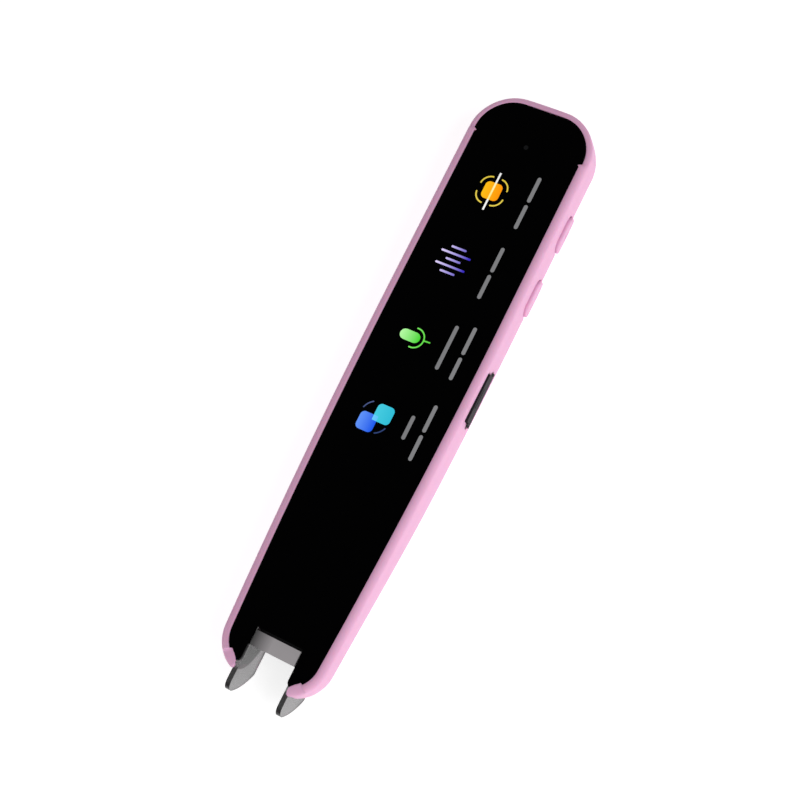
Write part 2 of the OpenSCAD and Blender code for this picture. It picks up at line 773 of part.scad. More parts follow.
// Wire swept along a helix whose axis is +Y
module coil(x, y, z, len) {
    steps = spring_turns * 12;
    sides = 6;
    pts = [for (i = [0:steps], k = [0:sides - 1]) let (
        a = 360 * spring_turns * i / steps,
        b = 360 * k / sides,
        r = spring_r + spring_wire_r * cos(b))
        [r * cos(a), spring_wire_r + (len - 2 * spring_wire_r) * i / steps + spring_wire_r * sin(b), r * sin(a)]];
    skin = [for (i = [0:steps - 1], k = [0:sides - 1]) let (n = (k + 1) % sides)
        [i * sides + k, (i + 1) * sides + k, (i + 1) * sides + n, i * sides + n]];
    ends = [[for (k = [0:sides - 1]) k], [for (k = [0:sides - 1]) steps * sides + sides - 1 - k]];
    translate([x, y, z]) polyhedron(pts, concat(skin, ends));
}

module fork_springs() {
    color([0.8, 0.8, 0.82]) for (s = [-1, 1])
        coil(s * (fin_in + fin_t / 2), band_top_y + 0.02, spring_z, bulkhead_y - band_top_y - 0.04);
}

module tip_switch() {
    y = fork_plunger_end + fork_travel + 0.05;
    color([0.2, 0.2, 0.22]) slab(plunger_arm, y, board_low_y + 3 - y, plunger_arm_z - 1.2, board_z - board_t - plunger_arm_z + 1.2,
        fin_in + fin_t / 2);
}

module scan_window() {
    color([0.02, 0.02, 0.03]) intersection() {
        nose_hollow(2 * (nose_half - nose_wall));
        difference() {
            nose_outline(2 * nose_half, -nose_half);
            translate([0, window_t, 0]) nose_outline(4 * nose_half, -2 * nose_half);
        }
        translate([-body_w, tip_y, 0]) cube([2 * body_w, bulkhead_y - 1 - tip_y, body_t]);
    }
}

module camera_barrel() {
    color([0.1, 0.1, 0.11]) difference() {
        union() {
            rod_y(0, barrel_front_y, lens_z, barrel_len, barrel_r);
            slab(7, barrel_front_y + barrel_len - 2.4, 2.4, lens_z - 3, 6);
        }
        rod_y(0, barrel_front_y - over, lens_z, barrel_len + 2 * over, lens_r);
    }
}

module camera_lens() {
    color([0.4, 0.45, 0.5]) rod_y(0, barrel_front_y + 0.5, lens_z, 1.4, lens_r);
}

module camera_board() {
    color([0.05, 0.25, 0.15]) slab(8, barrel_front_y + barrel_len, 0.6, floor_z + 0.4, board_z - board_t - floor_z - 0.5);
}

module led_board() {
    color([0.9, 0.9, 0.9]) slab(8, nose_low_y + 1, 4.4, nose_top_z - nose_wall - 0.4, 0.4);
}

module scan_leds() {
    color([0.95, 0.95, 0.7]) for (s = [-1, 1])
        slab(1.6, nose_low_y + 1.6, 2.2, nose_top_z - nose_wall - 1.1, 0.7, s * 3);
}

module radio_antenna() {
    color([0.85, 0.55, 0.2]) slab(2 * top_cx, top_y - inner_inset - 0.2, 0.15, split_z - 1.3, 1.2);
}

module housing_screws() {
    color([0.6, 0.6, 0.62]) for (x = [-screw_x, screw_x], y = [screw_low_y, screw_top_y])
        translate([x, y, glass_z - 0.02 - screw_head_h]) difference() {
            union() {
                cylinder(h = screw_head_h, r = screw_head_r);
                translate([0, 0, -(screw_len - 1)]) cylinder(h = screw_len - 1, r = screw_r);
            }
            for (a = [0, 90]) rotate([0, 0, a]) translate([-0.7, -0.12, screw_head_h - 0.3]) cube([1.4, 0.24, 1]);
        }
}

silicone_sleeve();
rear_housing();
front_frame();
cover_glass();
lcd_panel();
backlight_unit();
display_flex();
main_board();
processor_shield();
memory_chips();
board_connectors();
battery();
battery_pad();
battery_protection_board();
speaker_driver();
speaker_box();
speaker_mesh();
usb_receptacle();
usb_tongue();
port_cover();
port_cover_pin();
power_key_pad();
power_key_plunger();
home_key_pad();
home_key_plunger();
key_switches();
key_flex();
microphone();
microphone_boot();
scan_fork();
fork_plunger();
fork_springs();
tip_switch();
scan_window();
camera_barrel();
camera_lens();
camera_board();
led_board();
scan_leds();
radio_antenna();
housing_screws();
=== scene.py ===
import json
import math

import bmesh
import bpy
from mathutils import Matrix, Vector
from mathutils.geometry import delaunay_2d_cdt


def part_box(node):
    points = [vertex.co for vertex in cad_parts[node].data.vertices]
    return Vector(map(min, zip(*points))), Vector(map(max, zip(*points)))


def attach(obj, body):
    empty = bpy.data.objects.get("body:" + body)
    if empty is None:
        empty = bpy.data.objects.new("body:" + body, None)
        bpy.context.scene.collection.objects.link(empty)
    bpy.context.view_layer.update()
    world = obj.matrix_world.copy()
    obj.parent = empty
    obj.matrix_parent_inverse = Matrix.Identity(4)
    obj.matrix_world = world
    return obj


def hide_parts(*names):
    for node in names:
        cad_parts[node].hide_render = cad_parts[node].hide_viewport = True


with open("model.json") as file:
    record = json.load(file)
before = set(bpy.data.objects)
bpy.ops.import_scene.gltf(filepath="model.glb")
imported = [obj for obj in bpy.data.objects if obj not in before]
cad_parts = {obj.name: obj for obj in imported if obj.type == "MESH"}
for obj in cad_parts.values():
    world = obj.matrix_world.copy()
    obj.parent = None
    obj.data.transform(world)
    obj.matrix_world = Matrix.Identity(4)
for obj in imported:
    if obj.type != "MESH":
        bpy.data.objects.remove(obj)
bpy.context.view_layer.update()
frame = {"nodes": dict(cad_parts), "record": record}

MM = 0.001


def box_mm(node):
    low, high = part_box(node)
    return low / MM, high / MM


# ---------- sizes, from the frame where it has them ----------

SIDE_X, TOP_Y, BODY_T = box_mm("silicone_sleeve")[1]
BODY_L = 150.0
TIP_Y = TOP_Y - BODY_L
GLASS_TOP = box_mm("cover_glass")[1].z
WALL = SIDE_X + box_mm("rear_housing")[0].x

# Plan of the sleeve
TOP_R = 10.5                # corners of the speaker end
TIP_R = 9.0                 # corners of the tip
TAPER_Y = 20.0              # where the sides begin to draw in towards the tip
TAPER_LOSS = 2.8            # how far an arc along each side draws in
TAPER_LEN = TAPER_Y - TIP_Y
TAPER_R = (TAPER_LEN ** 2 + TAPER_LOSS ** 2) / (2 * TAPER_LOSS)
TAPER_CX = SIDE_X - TAPER_R
TOP_C = Vector((SIDE_X - TOP_R, TOP_Y - TOP_R))
TIP_CY = TIP_Y + TIP_R
TIP_CX = TAPER_CX + math.sqrt((TAPER_R - TIP_R) ** 2 - (TAPER_Y - TIP_CY) ** 2)
TAPER_A = math.asin((TAPER_Y - TIP_CY) / (TAPER_R - TIP_R))
TOP_BULGE = 0.6             # how far the corners of the speaker end lie below its middle
BULGE_LEN = 8.0             # length over which that fades out

# Roundings of the sleeve
EDGE_R = 7.0                # back edge along the sides
EDGE_TOP = 10.0             # back edge at the speaker end
EDGE_TIP = 9.3              # back edge at the tip
EDGE_TIP_U = 3.45           # where the back edge begins to swell towards the tip
FLAT_TOP_R = 4.0            # plan corners of the flat back
FLAT_TIP_R = 2.5
FLAT_TOP_FADE = 0.4         # shares of the straight side and of the taper over which
FLAT_TIP_START = 0.75       # the flat's border runs into its corners
TIP_FLAT_C = Vector((TIP_CX + TIP_R - EDGE_TIP - FLAT_TIP_R, TIP_Y + EDGE_TIP + FLAT_TIP_R))
LIP_R = 0.25                # inner edge of the lip
# Rounding of the rim: (width, height) along the sides, at the speaker end and at the tip
RIM_SIDE = (1.35, 1.3)
RIM_TOP = (1.1, 0.95)
RIM_TIP = (2.2, 0.8)

# Lips over the glass. The rim is full height between two steps, and lower round both ends.
LIP_STEP_TOP = TOP_Y - 11.3
LIP_STEP_TIP = TIP_Y + 3.0
STEP_LEN = 0.25
END_RIM_Z = GLASS_TOP + 0.1
SIDE_LIP_W = WALL + 0.35
TOP_LIP_W = 1.5
TIP_LIP_W = 2.6
LIP_GAP = 0.02              # air between a lip and the glass
LIP_LEAST = 0.05            # upright part of a lip's inner edge, at least
TOOTH_LEN = 0.7             # the lip's wider stretch below the upper step
TOOTH_W = 0.45
TOOTH_FADE = 0.3

# Speaker slots, and the scalloped grooves (flutes) that they lie in
SLOT_COUNT = 6
SLOT_PITCH = 2.5
SLOT_W = 0.65
SLOT_LEN = 14.0
SLOT_SHORT = 1.3            # how much shorter the outer two are
SLOT_Y = TOP_Y - 12.4 - SLOT_LEN / 2
SLOT_FIELD_HALF = SLOT_COUNT * SLOT_PITCH / 2
FLUTE_DEPTH = 0.85
FLUTE_TOP = SLOT_Y + SLOT_LEN / 2 + 3.0
FLUTE_LOW = SLOT_Y - SLOT_LEN / 2 - 4.5
FLUTE_TOP_FADE = 4.2
FLUTE_LOW_FADE = 6.0

# Fork opening
RECESS_Y = -58.1            # its upper edge on the back
RECESS_HALF = 8.15
RECESS_R = 2.2
RECESS_TIP_X = 7.9          # half its width at the end wall
BRIDGE_X = 6.9              # the end rim reaches in over the fins to here
BRIDGE_Z = 12.1             # underside of that stretch
BRIDGE_TURN_R = 0.5         # where the opening's side turns in to it
SQUARE_LEN = 3.0            # outside it the end wall turns from square across to the tip's rounding
TIP_WALL_Z = END_RIM_Z - RIM_TIP[1]
LOBE_R = 1.05               # rounding of the end rim's ends, seen from above
LOBE_CUT = 0.985            # share of that rounding's quarter circle, so that the rim's end keeps a width

# Side openings: the keys, the port and the microphone hole
key_boxes = {name: box_mm(name + "_pad") for name in ("power_key", "home_key")}
port_lo, port_hi = box_mm("port_cover")
pin_lo, pin_hi = box_mm("port_cover_pin")
mic_lo, mic_hi = box_mm("microphone_boot")
KEY_GAP = 0.3
KEY_R = 2.2
PORT_GAP = 0.15
PORT_R = 0.45
LUG_LEN = 0.7               # hinge lugs of the port cover
NOTCH_R = 0.8               # notches for them
MIC_R = 0.45

# Rounded outer edges of the openings
SLEEVE_EDGE = 0.35
BRIDGE_EDGE = 0.14          # under the end rim
PORT_EDGE = 0.2
MIC_EDGE = 0.15
SLOT_EDGE = 0.12


def mix(a, b, t):
    return a + (b - a) * t


def middle(low, high):
    return (low + high) / 2


def toward(a):
    """Unit vector at the angle a."""
    return Vector((math.cos(a), math.sin(a)))


def ramp(low, high, v):
    t = min(max((v - low) / (high - low), 0.0), 1.0)
    return t * t * (3 - 2 * t)


def solve(low, high, wrong):
    """The place between low and high where wrong() changes sign."""
    start = wrong(low) > 0
    for _ in range(40):
        half_way = middle(low, high)
        if (wrong(half_way) > 0) == start:
            low = half_way
        else:
            high = half_way
    return middle(low, high)


# ---------- the sleeve's form ----------
# u runs along the right half's outline, 0 at the middle of the speaker end to 6 at the middle of the tip.
# q runs up the wall: 0 border of the flat back, 1 end of the back edge's curve, 2 start of the rim's
# rounding, 3 to 4 the top of the lip, 5 to 7 its inner edge.

def rise(u):
    """Height of the back edge's curve at u."""
    if u < 1:
        return EDGE_TOP
    if u < 2:
        return mix(EDGE_TOP, EDGE_R, ramp(1, 2, u))
    if u < 3:
        return EDGE_R
    if u < 4:
        return mix(EDGE_R, EDGE_TIP, ramp(EDGE_TIP_U, 4, u))
    return EDGE_TIP


def lobe(x):
    """How far the round end of the tip's rim draws back at x."""
    t = min(max(1 - (x - BRIDGE_X) / LOBE_R, 0.0), LOBE_CUT)
    return LOBE_R * (1 - math.sqrt(1 - t * t))


def outline(u):
    """Outline point, outward direction, and the point of the flat's border that goes with it."""
    k = min(int(u), 5)
    f = u - k
    e = rise(u)
    if k == 0:
        out = Vector((0, 1))
        point = Vector((TOP_C.x * f, TOP_Y))
        flat = Vector(((SIDE_X - EDGE_R - FLAT_TOP_R) * f, TOP_Y - EDGE_TOP))
    elif k == 1:
        out = toward(math.pi / 2 * (1 - f))
        point = TOP_C + out * TOP_R
        flat = Vector((SIDE_X - EDGE_R - FLAT_TOP_R, TOP_Y - EDGE_TOP - FLAT_TOP_R)) + out * FLAT_TOP_R
    elif k == 2:
        out = Vector((1, 0))
        point = Vector((SIDE_X, mix(TOP_C.y, TAPER_Y, f)))
        drop = TOP_C.y - (TOP_Y - EDGE_TOP - FLAT_TOP_R)
        flat = point - out * e - Vector((0, drop * (1 - ramp(0, FLAT_TOP_FADE, f))))
    elif k == 3:
        out = toward(-TAPER_A * f)
        point = Vector((TAPER_CX, TAPER_Y)) + out * TAPER_R
        join = TIP_FLAT_C - Vector((TIP_CX, TIP_CY)) + toward(-TAPER_A) * (EDGE_TIP + FLAT_TIP_R - TIP_R)
        flat = point - out * e + join * ramp(FLAT_TIP_START, 1, f)
    else:
        out = toward(-mix(TAPER_A, math.pi / 2, f) if k == 4 else -math.pi / 2)
        slide = 1 - f if k == 5 else 1
        point = Vector((TIP_CX * slide, TIP_CY)) + out * TIP_R
        flat = Vector((TIP_FLAT_C.x * slide, TIP_FLAT_C.y)) + out * FLAT_TIP_R
        # over the fins the wall is cut square across
        out = out.lerp(Vector((0, -1)), 1 - ramp(BRIDGE_X, BRIDGE_X + SQUARE_LEN, point.x)).normalized()
    if k < 3:
        point.y -= TOP_BULGE * (point.x / SIDE_X) ** 2 * ramp(TOP_C.y - BULGE_LEN, TOP_Y, point.y)
    return point, out, flat


def rim(y):
    """Height of the rim, width of the lip, and width and height of the rim's rounding at y."""
    above = 1 - ramp(LIP_STEP_TOP, LIP_STEP_TOP + STEP_LEN, y)
    side = ramp(LIP_STEP_TIP - STEP_LEN, LIP_STEP_TIP, y) * above
    tooth = ramp(LIP_STEP_TOP - TOOTH_LEN, LIP_STEP_TOP - TOOTH_FADE, y) * side
    lip, curve = (TOP_LIP_W, RIM_TOP) if y > 0 else (TIP_LIP_W, RIM_TIP)
    return (mix(END_RIM_Z, BODY_T, side), mix(lip, SIDE_LIP_W, side) + TOOTH_W * tooth,
            mix(curve[0], RIM_SIDE[0], side), mix(curve[1], RIM_SIDE[1], side))


def flute(x, y):
    """Depth of the scalloped grooves round the slots."""
    if abs(x) >= SLOT_FIELD_HALF or not FLUTE_LOW < y < FLUTE_TOP:
        return 0.0
    across = 0.5 - 0.5 * math.cos(2 * math.pi * (x + SLOT_FIELD_HALF) / SLOT_PITCH)
    low_end = ramp(FLUTE_LOW, FLUTE_LOW + FLUTE_LOW_FADE, y)
    top_end = 1 - ramp(FLUTE_TOP - FLUTE_TOP_FADE, FLUTE_TOP, y)
    return FLUTE_DEPTH * across * low_end * top_end


def wall_top(u):
    """Height where the rim's rounding begins at u."""
    rim_z, _, _, curve_h = rim(outline(u)[0].y)
    return rim_z - curve_h


def surf(u, q, inset=0.0):
    """Point of the sleeve's surface, or of its inner surface where the inset is the wall."""
    point, out, flat = outline(u)
    e = rise(u)
    z_rim, lip, curve_w, curve_h = rim(point.y)
    z_wall = z_rim - curve_h
    back = lobe(point.x) if u > 4 else 0.0
    point = point + Vector((0, back))
    slim = 1 - 2 * back / lip
    edge = point - out * inset * slim
    if q <= 1:
        a = q * math.pi / 2
        place = flat + (edge - flat) * math.sin(a)
        z = inset + (e - inset) * (1 - math.cos(a))
        if inset == 0:
            z += flute(place.x, place.y)
        return Vector((place.x, place.y, z))
    if q <= 2:
        return Vector((edge.x, edge.y, mix(e, z_wall, q - 1)))
    if q <= 3:
        a = (q - 2) * math.pi / 2
        depth, z = curve_w * (1 - math.cos(a)), z_wall + curve_h * math.sin(a)
    elif q <= 4:
        depth, z = mix(curve_w, lip - LIP_R, q - 3), z_rim
    elif q <= 5:
        a = (q - 4) * math.pi / 2
        depth, z = lip - LIP_R + LIP_R * math.sin(a), z_rim - LIP_R * (1 - math.cos(a))
    else:
        low = min(GLASS_TOP + LIP_GAP, z_rim - LIP_R - LIP_LEAST)
        depth, z = (lip, mix(z_rim - LIP_R, low, q - 5)) if q <= 6 else (mix(lip, WALL, q - 6), low)
    place = point - out * depth * slim
    return Vector((place.x, place.y, z))


def unrolled(u, q):
    """Place of (u, q) in the plane where the skin is triangulated: the back with its sides folded out."""
    point, _, flat = outline(u)
    reach = (point - flat).length * math.pi / 2
    span = reach * q if q <= 1 else reach + (q - 1) * (wall_top(u) - rise(u))
    return flat + (point - flat).normalized() * span


def up_wall(u, z, inset=0.0):
    """q of the height z at u."""
    e = rise(u)
    if z >= e:
        return 1 + (z - e) / (wall_top(u) - e)
    return math.acos(min(max(1 - (z - inset) / (e - inset), 0), 1)) / (math.pi / 2)


def on_side(y, z, inset=0.0):
    """(u, q) of a place on the key side."""
    u = solve(1.0, 4.9, lambda v: surf(v, up_wall(v, z, inset), inset).y - y)
    return u, up_wall(u, z, inset)


def on_end(x, z, inset=0.0):
    """(u, q) of a place on the tip's end wall."""
    u = solve(4.0, 5.9, lambda v: surf(v, up_wall(v, z, inset), inset).x - x)
    return u, up_wall(u, z, inset)


def on_back(x, y, inset=0.0):
    """(u, q) of a place seen from the back near the tip, or None on the flat."""
    place = Vector((x, y))

    def side(v):
        point, out, flat = outline(v)
        ray = point - out * inset - flat
        return ray.x * (place - flat).y - ray.y * (place - flat).x

    u = solve(3.0, 5.999, side)
    point, out, flat = outline(u)
    ray = point - out * inset - flat
    s = (place - flat).dot(ray) / ray.length_squared
    return (u, math.asin(min(s, 1)) / (math.pi / 2)) if s > 0 else None


# ---------- meshes ----------

class Skin:
    """Points and faces of one mesh, in millimetres."""

    def __init__(self):
        self.points = []
        self.faces = []
        self.slots = []         # material number of each face
        self.now = 0            # material number that new faces take

    def add(self, point):
        self.points.append(Vector(point))
        return len(self.points) - 1

    def row(self, points):
        return [self.add(p) for p in points]

    def face(self, *corners):
        self.faces.append(corners)
        self.slots.append(self.now)

    def strip(self, a, b, closed=False):
        """Four-sided faces between two rows."""
        count = len(a)
        for i in range(count if closed else count - 1):
            j = (i + 1) % count
            self.face(a[i], a[j], b[j], b[i])

    def fill(self, places, loops, holes):
        """Triangles between places, each a (2-D place, index), within the loops and outside the holes."""
        at = {index: i for i, (_, index) in enumerate(places)}
        edges = []
        for loop in loops:
            edges += [(at[loop[i]], at[loop[(i + 1) % len(loop)]]) for i in range(len(loop))]
        found = delaunay_2d_cdt([p for p, _ in places], edges, [], 1, 1e-7)
        index = [places[source[0]][1] for source in found[3]]
        inside = [set(hole) for hole in holes]
        for face in found[2]:
            corners = tuple(index[i] for i in face)
            if len(set(corners)) == 3 and not any(set(corners) <= hole for hole in inside):
                self.face(*corners)

    def build(self, name, *materials, smooth_angle=None):
        mesh = bpy.data.meshes.new(name)
        mesh.from_pydata([p * MM for p in self.points], [], self.faces)
        mesh.polygons.foreach_set("material_index", self.slots)
        bm = bmesh.new()
        bm.from_mesh(mesh)
        bmesh.ops.remove_doubles(bm, verts=bm.verts, dist=1e-8)
        loose = [v for v in bm.verts if not v.link_faces]
        bmesh.ops.delete(bm, geom=loose, context="VERTS")
        bmesh.ops.recalc_face_normals(bm, faces=bm.faces)
        bm.to_mesh(mesh)
        bm.free()
        for material in materials:
            mesh.materials.append(material)
        mesh.shade_smooth()
        piece = bpy.data.objects.new(name, mesh)
        bpy.context.collection.objects.link(piece)
        if smooth_angle is not None:
            chosen = dict(object=piece, active_object=piece, selected_editable_objects=[piece])
            with bpy.context.temp_override(**chosen):
                bpy.ops.object.shade_smooth_by_angle(angle=math.radians(smooth_angle))
        return piece


def rounded_rect(length, height, r, corner_steps=8, side_steps=5):
    """Closed loop of points round a rectangle with round corners, anticlockwise."""
    loop = []
    centres = [Vector((sx * (length / 2 - r), sy * (height / 2 - r)))
               for sx, sy in ((1, 1), (-1, 1), (-1, -1), (1, -1))]
    for k, centre in enumerate(centres):
        loop += [centre + toward(math.pi / 2 * (k + i / corner_steps)) * r for i in range(corner_steps + 1)]
        start = loop[-1].copy()
        after = centres[(k + 1) % 4] + toward(math.pi / 2 * (k + 1)) * r
        loop += [start.lerp(after, i / side_steps) for i in range(1, side_steps)]
    return loop


def loop_normals(loop):
    """Outward direction at each point of an anticlockwise loop."""
    ways = [after - before for after, before in zip(loop[1:] + loop[:1], loop[-1:] + loop[:-1])]
    return [Vector((way.y, -way.x)).normalized() for way in ways]


def edge_steps(r, steps):
    """(distance from the wall, depth) of the rings of a rounded edge."""
    return [(r * (1 - math.sin(a)), r * (1 - math.cos(a)))
            for a in (math.pi / 2 * i / steps for i in range(steps + 1))]


# ---------- sleeve ----------

EDGE_RINGS = 4
COLUMN_STEPS = (4, 18, 32, 58, 24)      # columns of points between whole values of u
COLUMN_GAP = 0.006                      # least step of u between two columns
ARC_LEVELS = [i / 10 for i in range(11)] + [1.25, 1.5, 1.75]
INNER_LEVELS = [0, 0.35, 0.7, 1, 1.5]
RIM_LEVELS = [2 + k / 6 for k in range(1, 7)] + [3.5, 4, 4.33, 4.67, 5, 6, 7]
FLAT_STEP = 2.6                         # grid on the flat back
FLUTE_STEP = (0.25, 0.7)                # grid in the flutes
# How near a grid point may come to an opening, and to the border and the tip end of the flat back
CLEAR = 0.35
MIC_CLEAR = 1.0                         # from the middle of its hole
SLOT_CLEAR = 0.22
BORDER_CLEAR = 0.3
TIP_CLEAR = 0.5


class Opening:
    """An opening through the sleeve. Its place(i, spread, inset) is a 3-D point and that point unrolled."""

    def __init__(self, count, place, radius, closed=True):
        self.count = count
        self.place = place
        self.radius = radius
        self.closed = closed

    def cut(self, skin):
        """Adds the rounded outer edge and the opening's wall."""
        outer = [self.place(i, 0, 0)[0] for i in range(self.count)]
        inner = [self.place(i, 0, WALL) for i in range(self.count)]
        deep = [(inner[i][0] - outer[i]).normalized() for i in range(self.count)]
        rings = []
        for spread, depth in edge_steps(self.radius, EDGE_RINGS):
            found = [self.place(i, spread, 0) for i in range(self.count)]
            rings.append(skin.row(found[i][0] + deep[i] * depth for i in range(self.count)))
            if len(rings) == 1:
                self.outer_places = [(found[i][1], rings[0][i]) for i in range(self.count)]
        rings.append(skin.row(p for p, _ in inner))
        self.inner_places = [(inner[i][1], rings[-1][i]) for i in range(self.count)]
        for a, b in zip(rings, rings[1:]):
            skin.strip(a, b, self.closed)
        self.rings = rings


def side_opening(loop, y, z, radius):
    """An opening in the key side, with its middle at (y, z)."""
    normals = loop_normals(loop)

    def place(i, spread, inset):
        p = loop[i] + normals[i] * spread
        where = on_side(y + p.x, z + p.y, inset)
        return surf(*where, inset), unrolled(*where)

    return Opening(len(loop), place, radius)


def slot_opening(x, length, radius):
    """A speaker slot with round ends."""
    loop = []
    straight = length - SLOT_W
    for turn, end in ((0, 1), (1, -1)):
        for k in range(9):
            loop.append(Vector((0, end * straight / 2)) + toward(math.pi * (turn + k / 8)) * SLOT_W / 2)
        for k in range(1, 12):
            loop.append(Vector((-end * SLOT_W / 2, end * straight * (0.5 - k / 12))))
    normals = loop_normals(loop)

    def place(i, spread, inset):
        p = Vector((x, SLOT_Y)) + loop[i] + normals[i] * spread
        return Vector((p.x, p.y, inset or flute(p.x, p.y))), p

    return Opening(len(loop), place, radius)


def recess_route(inset):
    """Right half of the fork opening's edge: steps along the back, then up the end wall."""
    back = [(Vector((x, RECESS_Y)), Vector((0, 1))) for x in (0.001, 1.2, 2.4, 3.6, 4.8)]
    centre = Vector((RECESS_HALF - RECESS_R, RECESS_Y - RECESS_R))
    for k in range(9):
        way = toward(math.pi / 2 * (1 - k / 8))
        back.append((centre + way * RECESS_R, way))
    y_end = surf(*on_end(RECESS_TIP_X, EDGE_TIP, inset), inset).y
    for k in range(1, 17):
        t = math.sin(math.pi / 2 * k / 16)
        back.append((Vector((mix(RECESS_HALF, RECESS_TIP_X, t), mix(centre.y, y_end, t))), Vector((1, 0))))
    wall = [Vector((RECESS_TIP_X, EDGE_TIP + k * 0.45)) for k in range(1, 5)]
    turn_c = Vector((RECESS_TIP_X - BRIDGE_TURN_R, BRIDGE_Z - BRIDGE_TURN_R))
    wall += [turn_c + toward(math.pi / 2 * k / 3) * BRIDGE_TURN_R for k in range(4)]
    wall.append(Vector((BRIDGE_X + 0.15, BRIDGE_Z)))
    wall.append(Vector((BRIDGE_X, BRIDGE_Z + 0.1)))
    wall.append(Vector((BRIDGE_X, TIP_WALL_Z)))
    return back, wall


def recess_opening(radius):
    """The fork opening, from the left end of the tip's rim round the back to the right end."""
    routes = {inset: recess_route(inset) for inset in (0, WALL)}
    half = len(routes[0][0]) + len(routes[0][1])

    def place(i, spread, inset):
        side = -1 if i < half else 1
        k = half - 1 - i if i < half else i - half
        back, wall = routes[inset]
        if k < len(back):
            p, way = back[k]
            p = p + way * spread
            where = on_back(p.x, p.y, inset)
            point = surf(*where, inset) if where else Vector((p.x, p.y, inset))
            flat = unrolled(*where) if where else p
        else:
            k -= len(back)
            before, after = wall[max(k - 1, 0)], wall[min(k + 1, len(wall) - 1)]
            along = (after - before).normalized()
            spread *= mix(1, BRIDGE_EDGE / SLEEVE_EDGE, ramp(10, BRIDGE_Z - 0.3, wall[k].y))
            p = wall[k] + Vector((along.y, -along.x)) * spread
            if k == len(wall) - 1:
                p = Vector((BRIDGE_X + spread, TIP_WALL_Z))
            where = on_end(p.x, p.y, inset)
            point, flat = surf(*where, inset), unrolled(*where)
        return Vector((side * point.x, point.y, point.z)), Vector((side * flat.x, flat.y))

    return Opening(2 * half, place, radius, closed=False)


def port_loop(length, height, r, pin_z, lug_y, lug_r):
    """Rounded rectangle with a round notch at each end for the hinge lugs, clockwise from the middle."""
    half = []
    reach = lug_r ** 2 - (length / 2 - lug_y) ** 2
    turn = math.acos((length / 2 - lug_y) / lug_r)
    centre = Vector((length / 2 - r, height / 2 - r))
    half += [centre + toward(math.pi / 2 * (1 - k / 5)) * r for k in range(6)]
    half.append(Vector((length / 2, middle(height / 2 - r, pin_z + math.sqrt(reach)))))
    half += [Vector((lug_y, pin_z)) + toward(turn * (1 - k / 6)) * lug_r for k in range(13)]
    half.append(Vector((length / 2 - r * 0.7, -height / 2)))
    low = [Vector(((length / 2 - r) * (1 - k / 4.5), -height / 2)) for k in range(1, 9)]
    top = [Vector(((length / 2 - r) * (k / 4.5 - 1), height / 2)) for k in range(1, 9)]
    return half + low + [Vector((-p.x, p.y)) for p in reversed(half)] + top


def sleeve_columns():
    """u of the columns on one half, from the middle of the speaker end to the fork opening."""
    columns = [k + i / steps for k, steps in enumerate(COLUMN_STEPS) for i in range(steps)]
    last = on_end(BRIDGE_X + BRIDGE_EDGE, TIP_WALL_Z)[0]
    for step, sign in ((LIP_STEP_TOP, 1), (LIP_STEP_TIP, -1)):
        for dy in (-TOOTH_LEN, -0.45, -TOOTH_FADE, 0.0, 0.12, STEP_LEN):
            y = step + sign * dy
            columns.append(solve(1.0, 5.0, lambda v: outline(v)[0].y - y))
    for t in (0.08, 0.25, 0.45, 0.7, 1.0, 1.4):
        columns.append(on_end(BRIDGE_X + BRIDGE_EDGE + t * LOBE_R, TIP_WALL_Z)[0])
    columns = sorted(u for u in columns if u < last - 0.002)
    kept = [columns[0]]
    for u in columns[1:]:
        if u - kept[-1] > COLUMN_GAP:
            kept.append(u)
    return kept + [last]


def sleeve_openings():
    """All openings but the fork's."""
    openings = []
    for low, high in key_boxes.values():
        size = high - low
        loop = rounded_rect(size.y + 2 * KEY_GAP, size.z + 2 * KEY_GAP, KEY_R + KEY_GAP)
        openings.append(side_opening(loop, middle(low.y, high.y), middle(low.z, high.z), SLEEVE_EDGE))
    cover = port_hi - port_lo
    port = Vector((middle(port_lo.y, port_hi.y), middle(port_lo.z, port_hi.z)))
    loop = port_loop(cover.y + 2 * PORT_GAP, cover.z + 2 * PORT_GAP, PORT_R,
                     middle(pin_lo.z, pin_hi.z) - port.y, (pin_hi.y - pin_lo.y - LUG_LEN) / 2, NOTCH_R)
    openings.append(side_opening(loop[::-1], port.x, port.y, PORT_EDGE))
    circle = [toward(math.tau * k / 24) * MIC_R for k in range(24)]
    openings.append(side_opening(circle, middle(mic_lo.y, mic_hi.y), middle(mic_lo.z, mic_hi.z), MIC_EDGE))
    for k in range(SLOT_COUNT):
        length = SLOT_LEN - (SLOT_SHORT if k in (0, SLOT_COUNT - 1) else 0)
        openings.append(slot_opening((k - (SLOT_COUNT - 1) / 2) * SLOT_PITCH, length, SLOT_EDGE))
    return openings


def near_opening(p):
    """Whether a grid point is too near an opening of the sleeve."""
    if p.x > SIDE_X / 2 and p.z < BODY_T - 1:
        key_room = KEY_GAP + SLEEVE_EDGE + CLEAR
        port_room = NOTCH_R + LUG_LEN + CLEAR
        rooms = [(*box, key_room) for box in key_boxes.values()] + [(port_lo, port_hi, port_room)]
        for low, high, room in rooms:
            if low.y - room < p.y < high.y + room and low.z - room < p.z < high.z + room:
                return True
        if math.hypot(p.y - middle(mic_lo.y, mic_hi.y), p.z - middle(mic_lo.z, mic_hi.z)) < MIC_CLEAR:
            return True
    if p.z < 1 and abs(p.y - SLOT_Y) < SLOT_LEN / 2 + BORDER_CLEAR and abs(p.x) < SLOT_FIELD_HALF:
        across = (p.x / SLOT_PITCH + SLOT_COUNT / 2) % 1 - 0.5
        if abs(across) * SLOT_PITCH < SLOT_W / 2 + SLOT_CLEAR:
            return True
    return abs(p.x) < RECESS_HALF + SLEEVE_EDGE + CLEAR and p.y < RECESS_Y + SLEEVE_EDGE + CLEAR


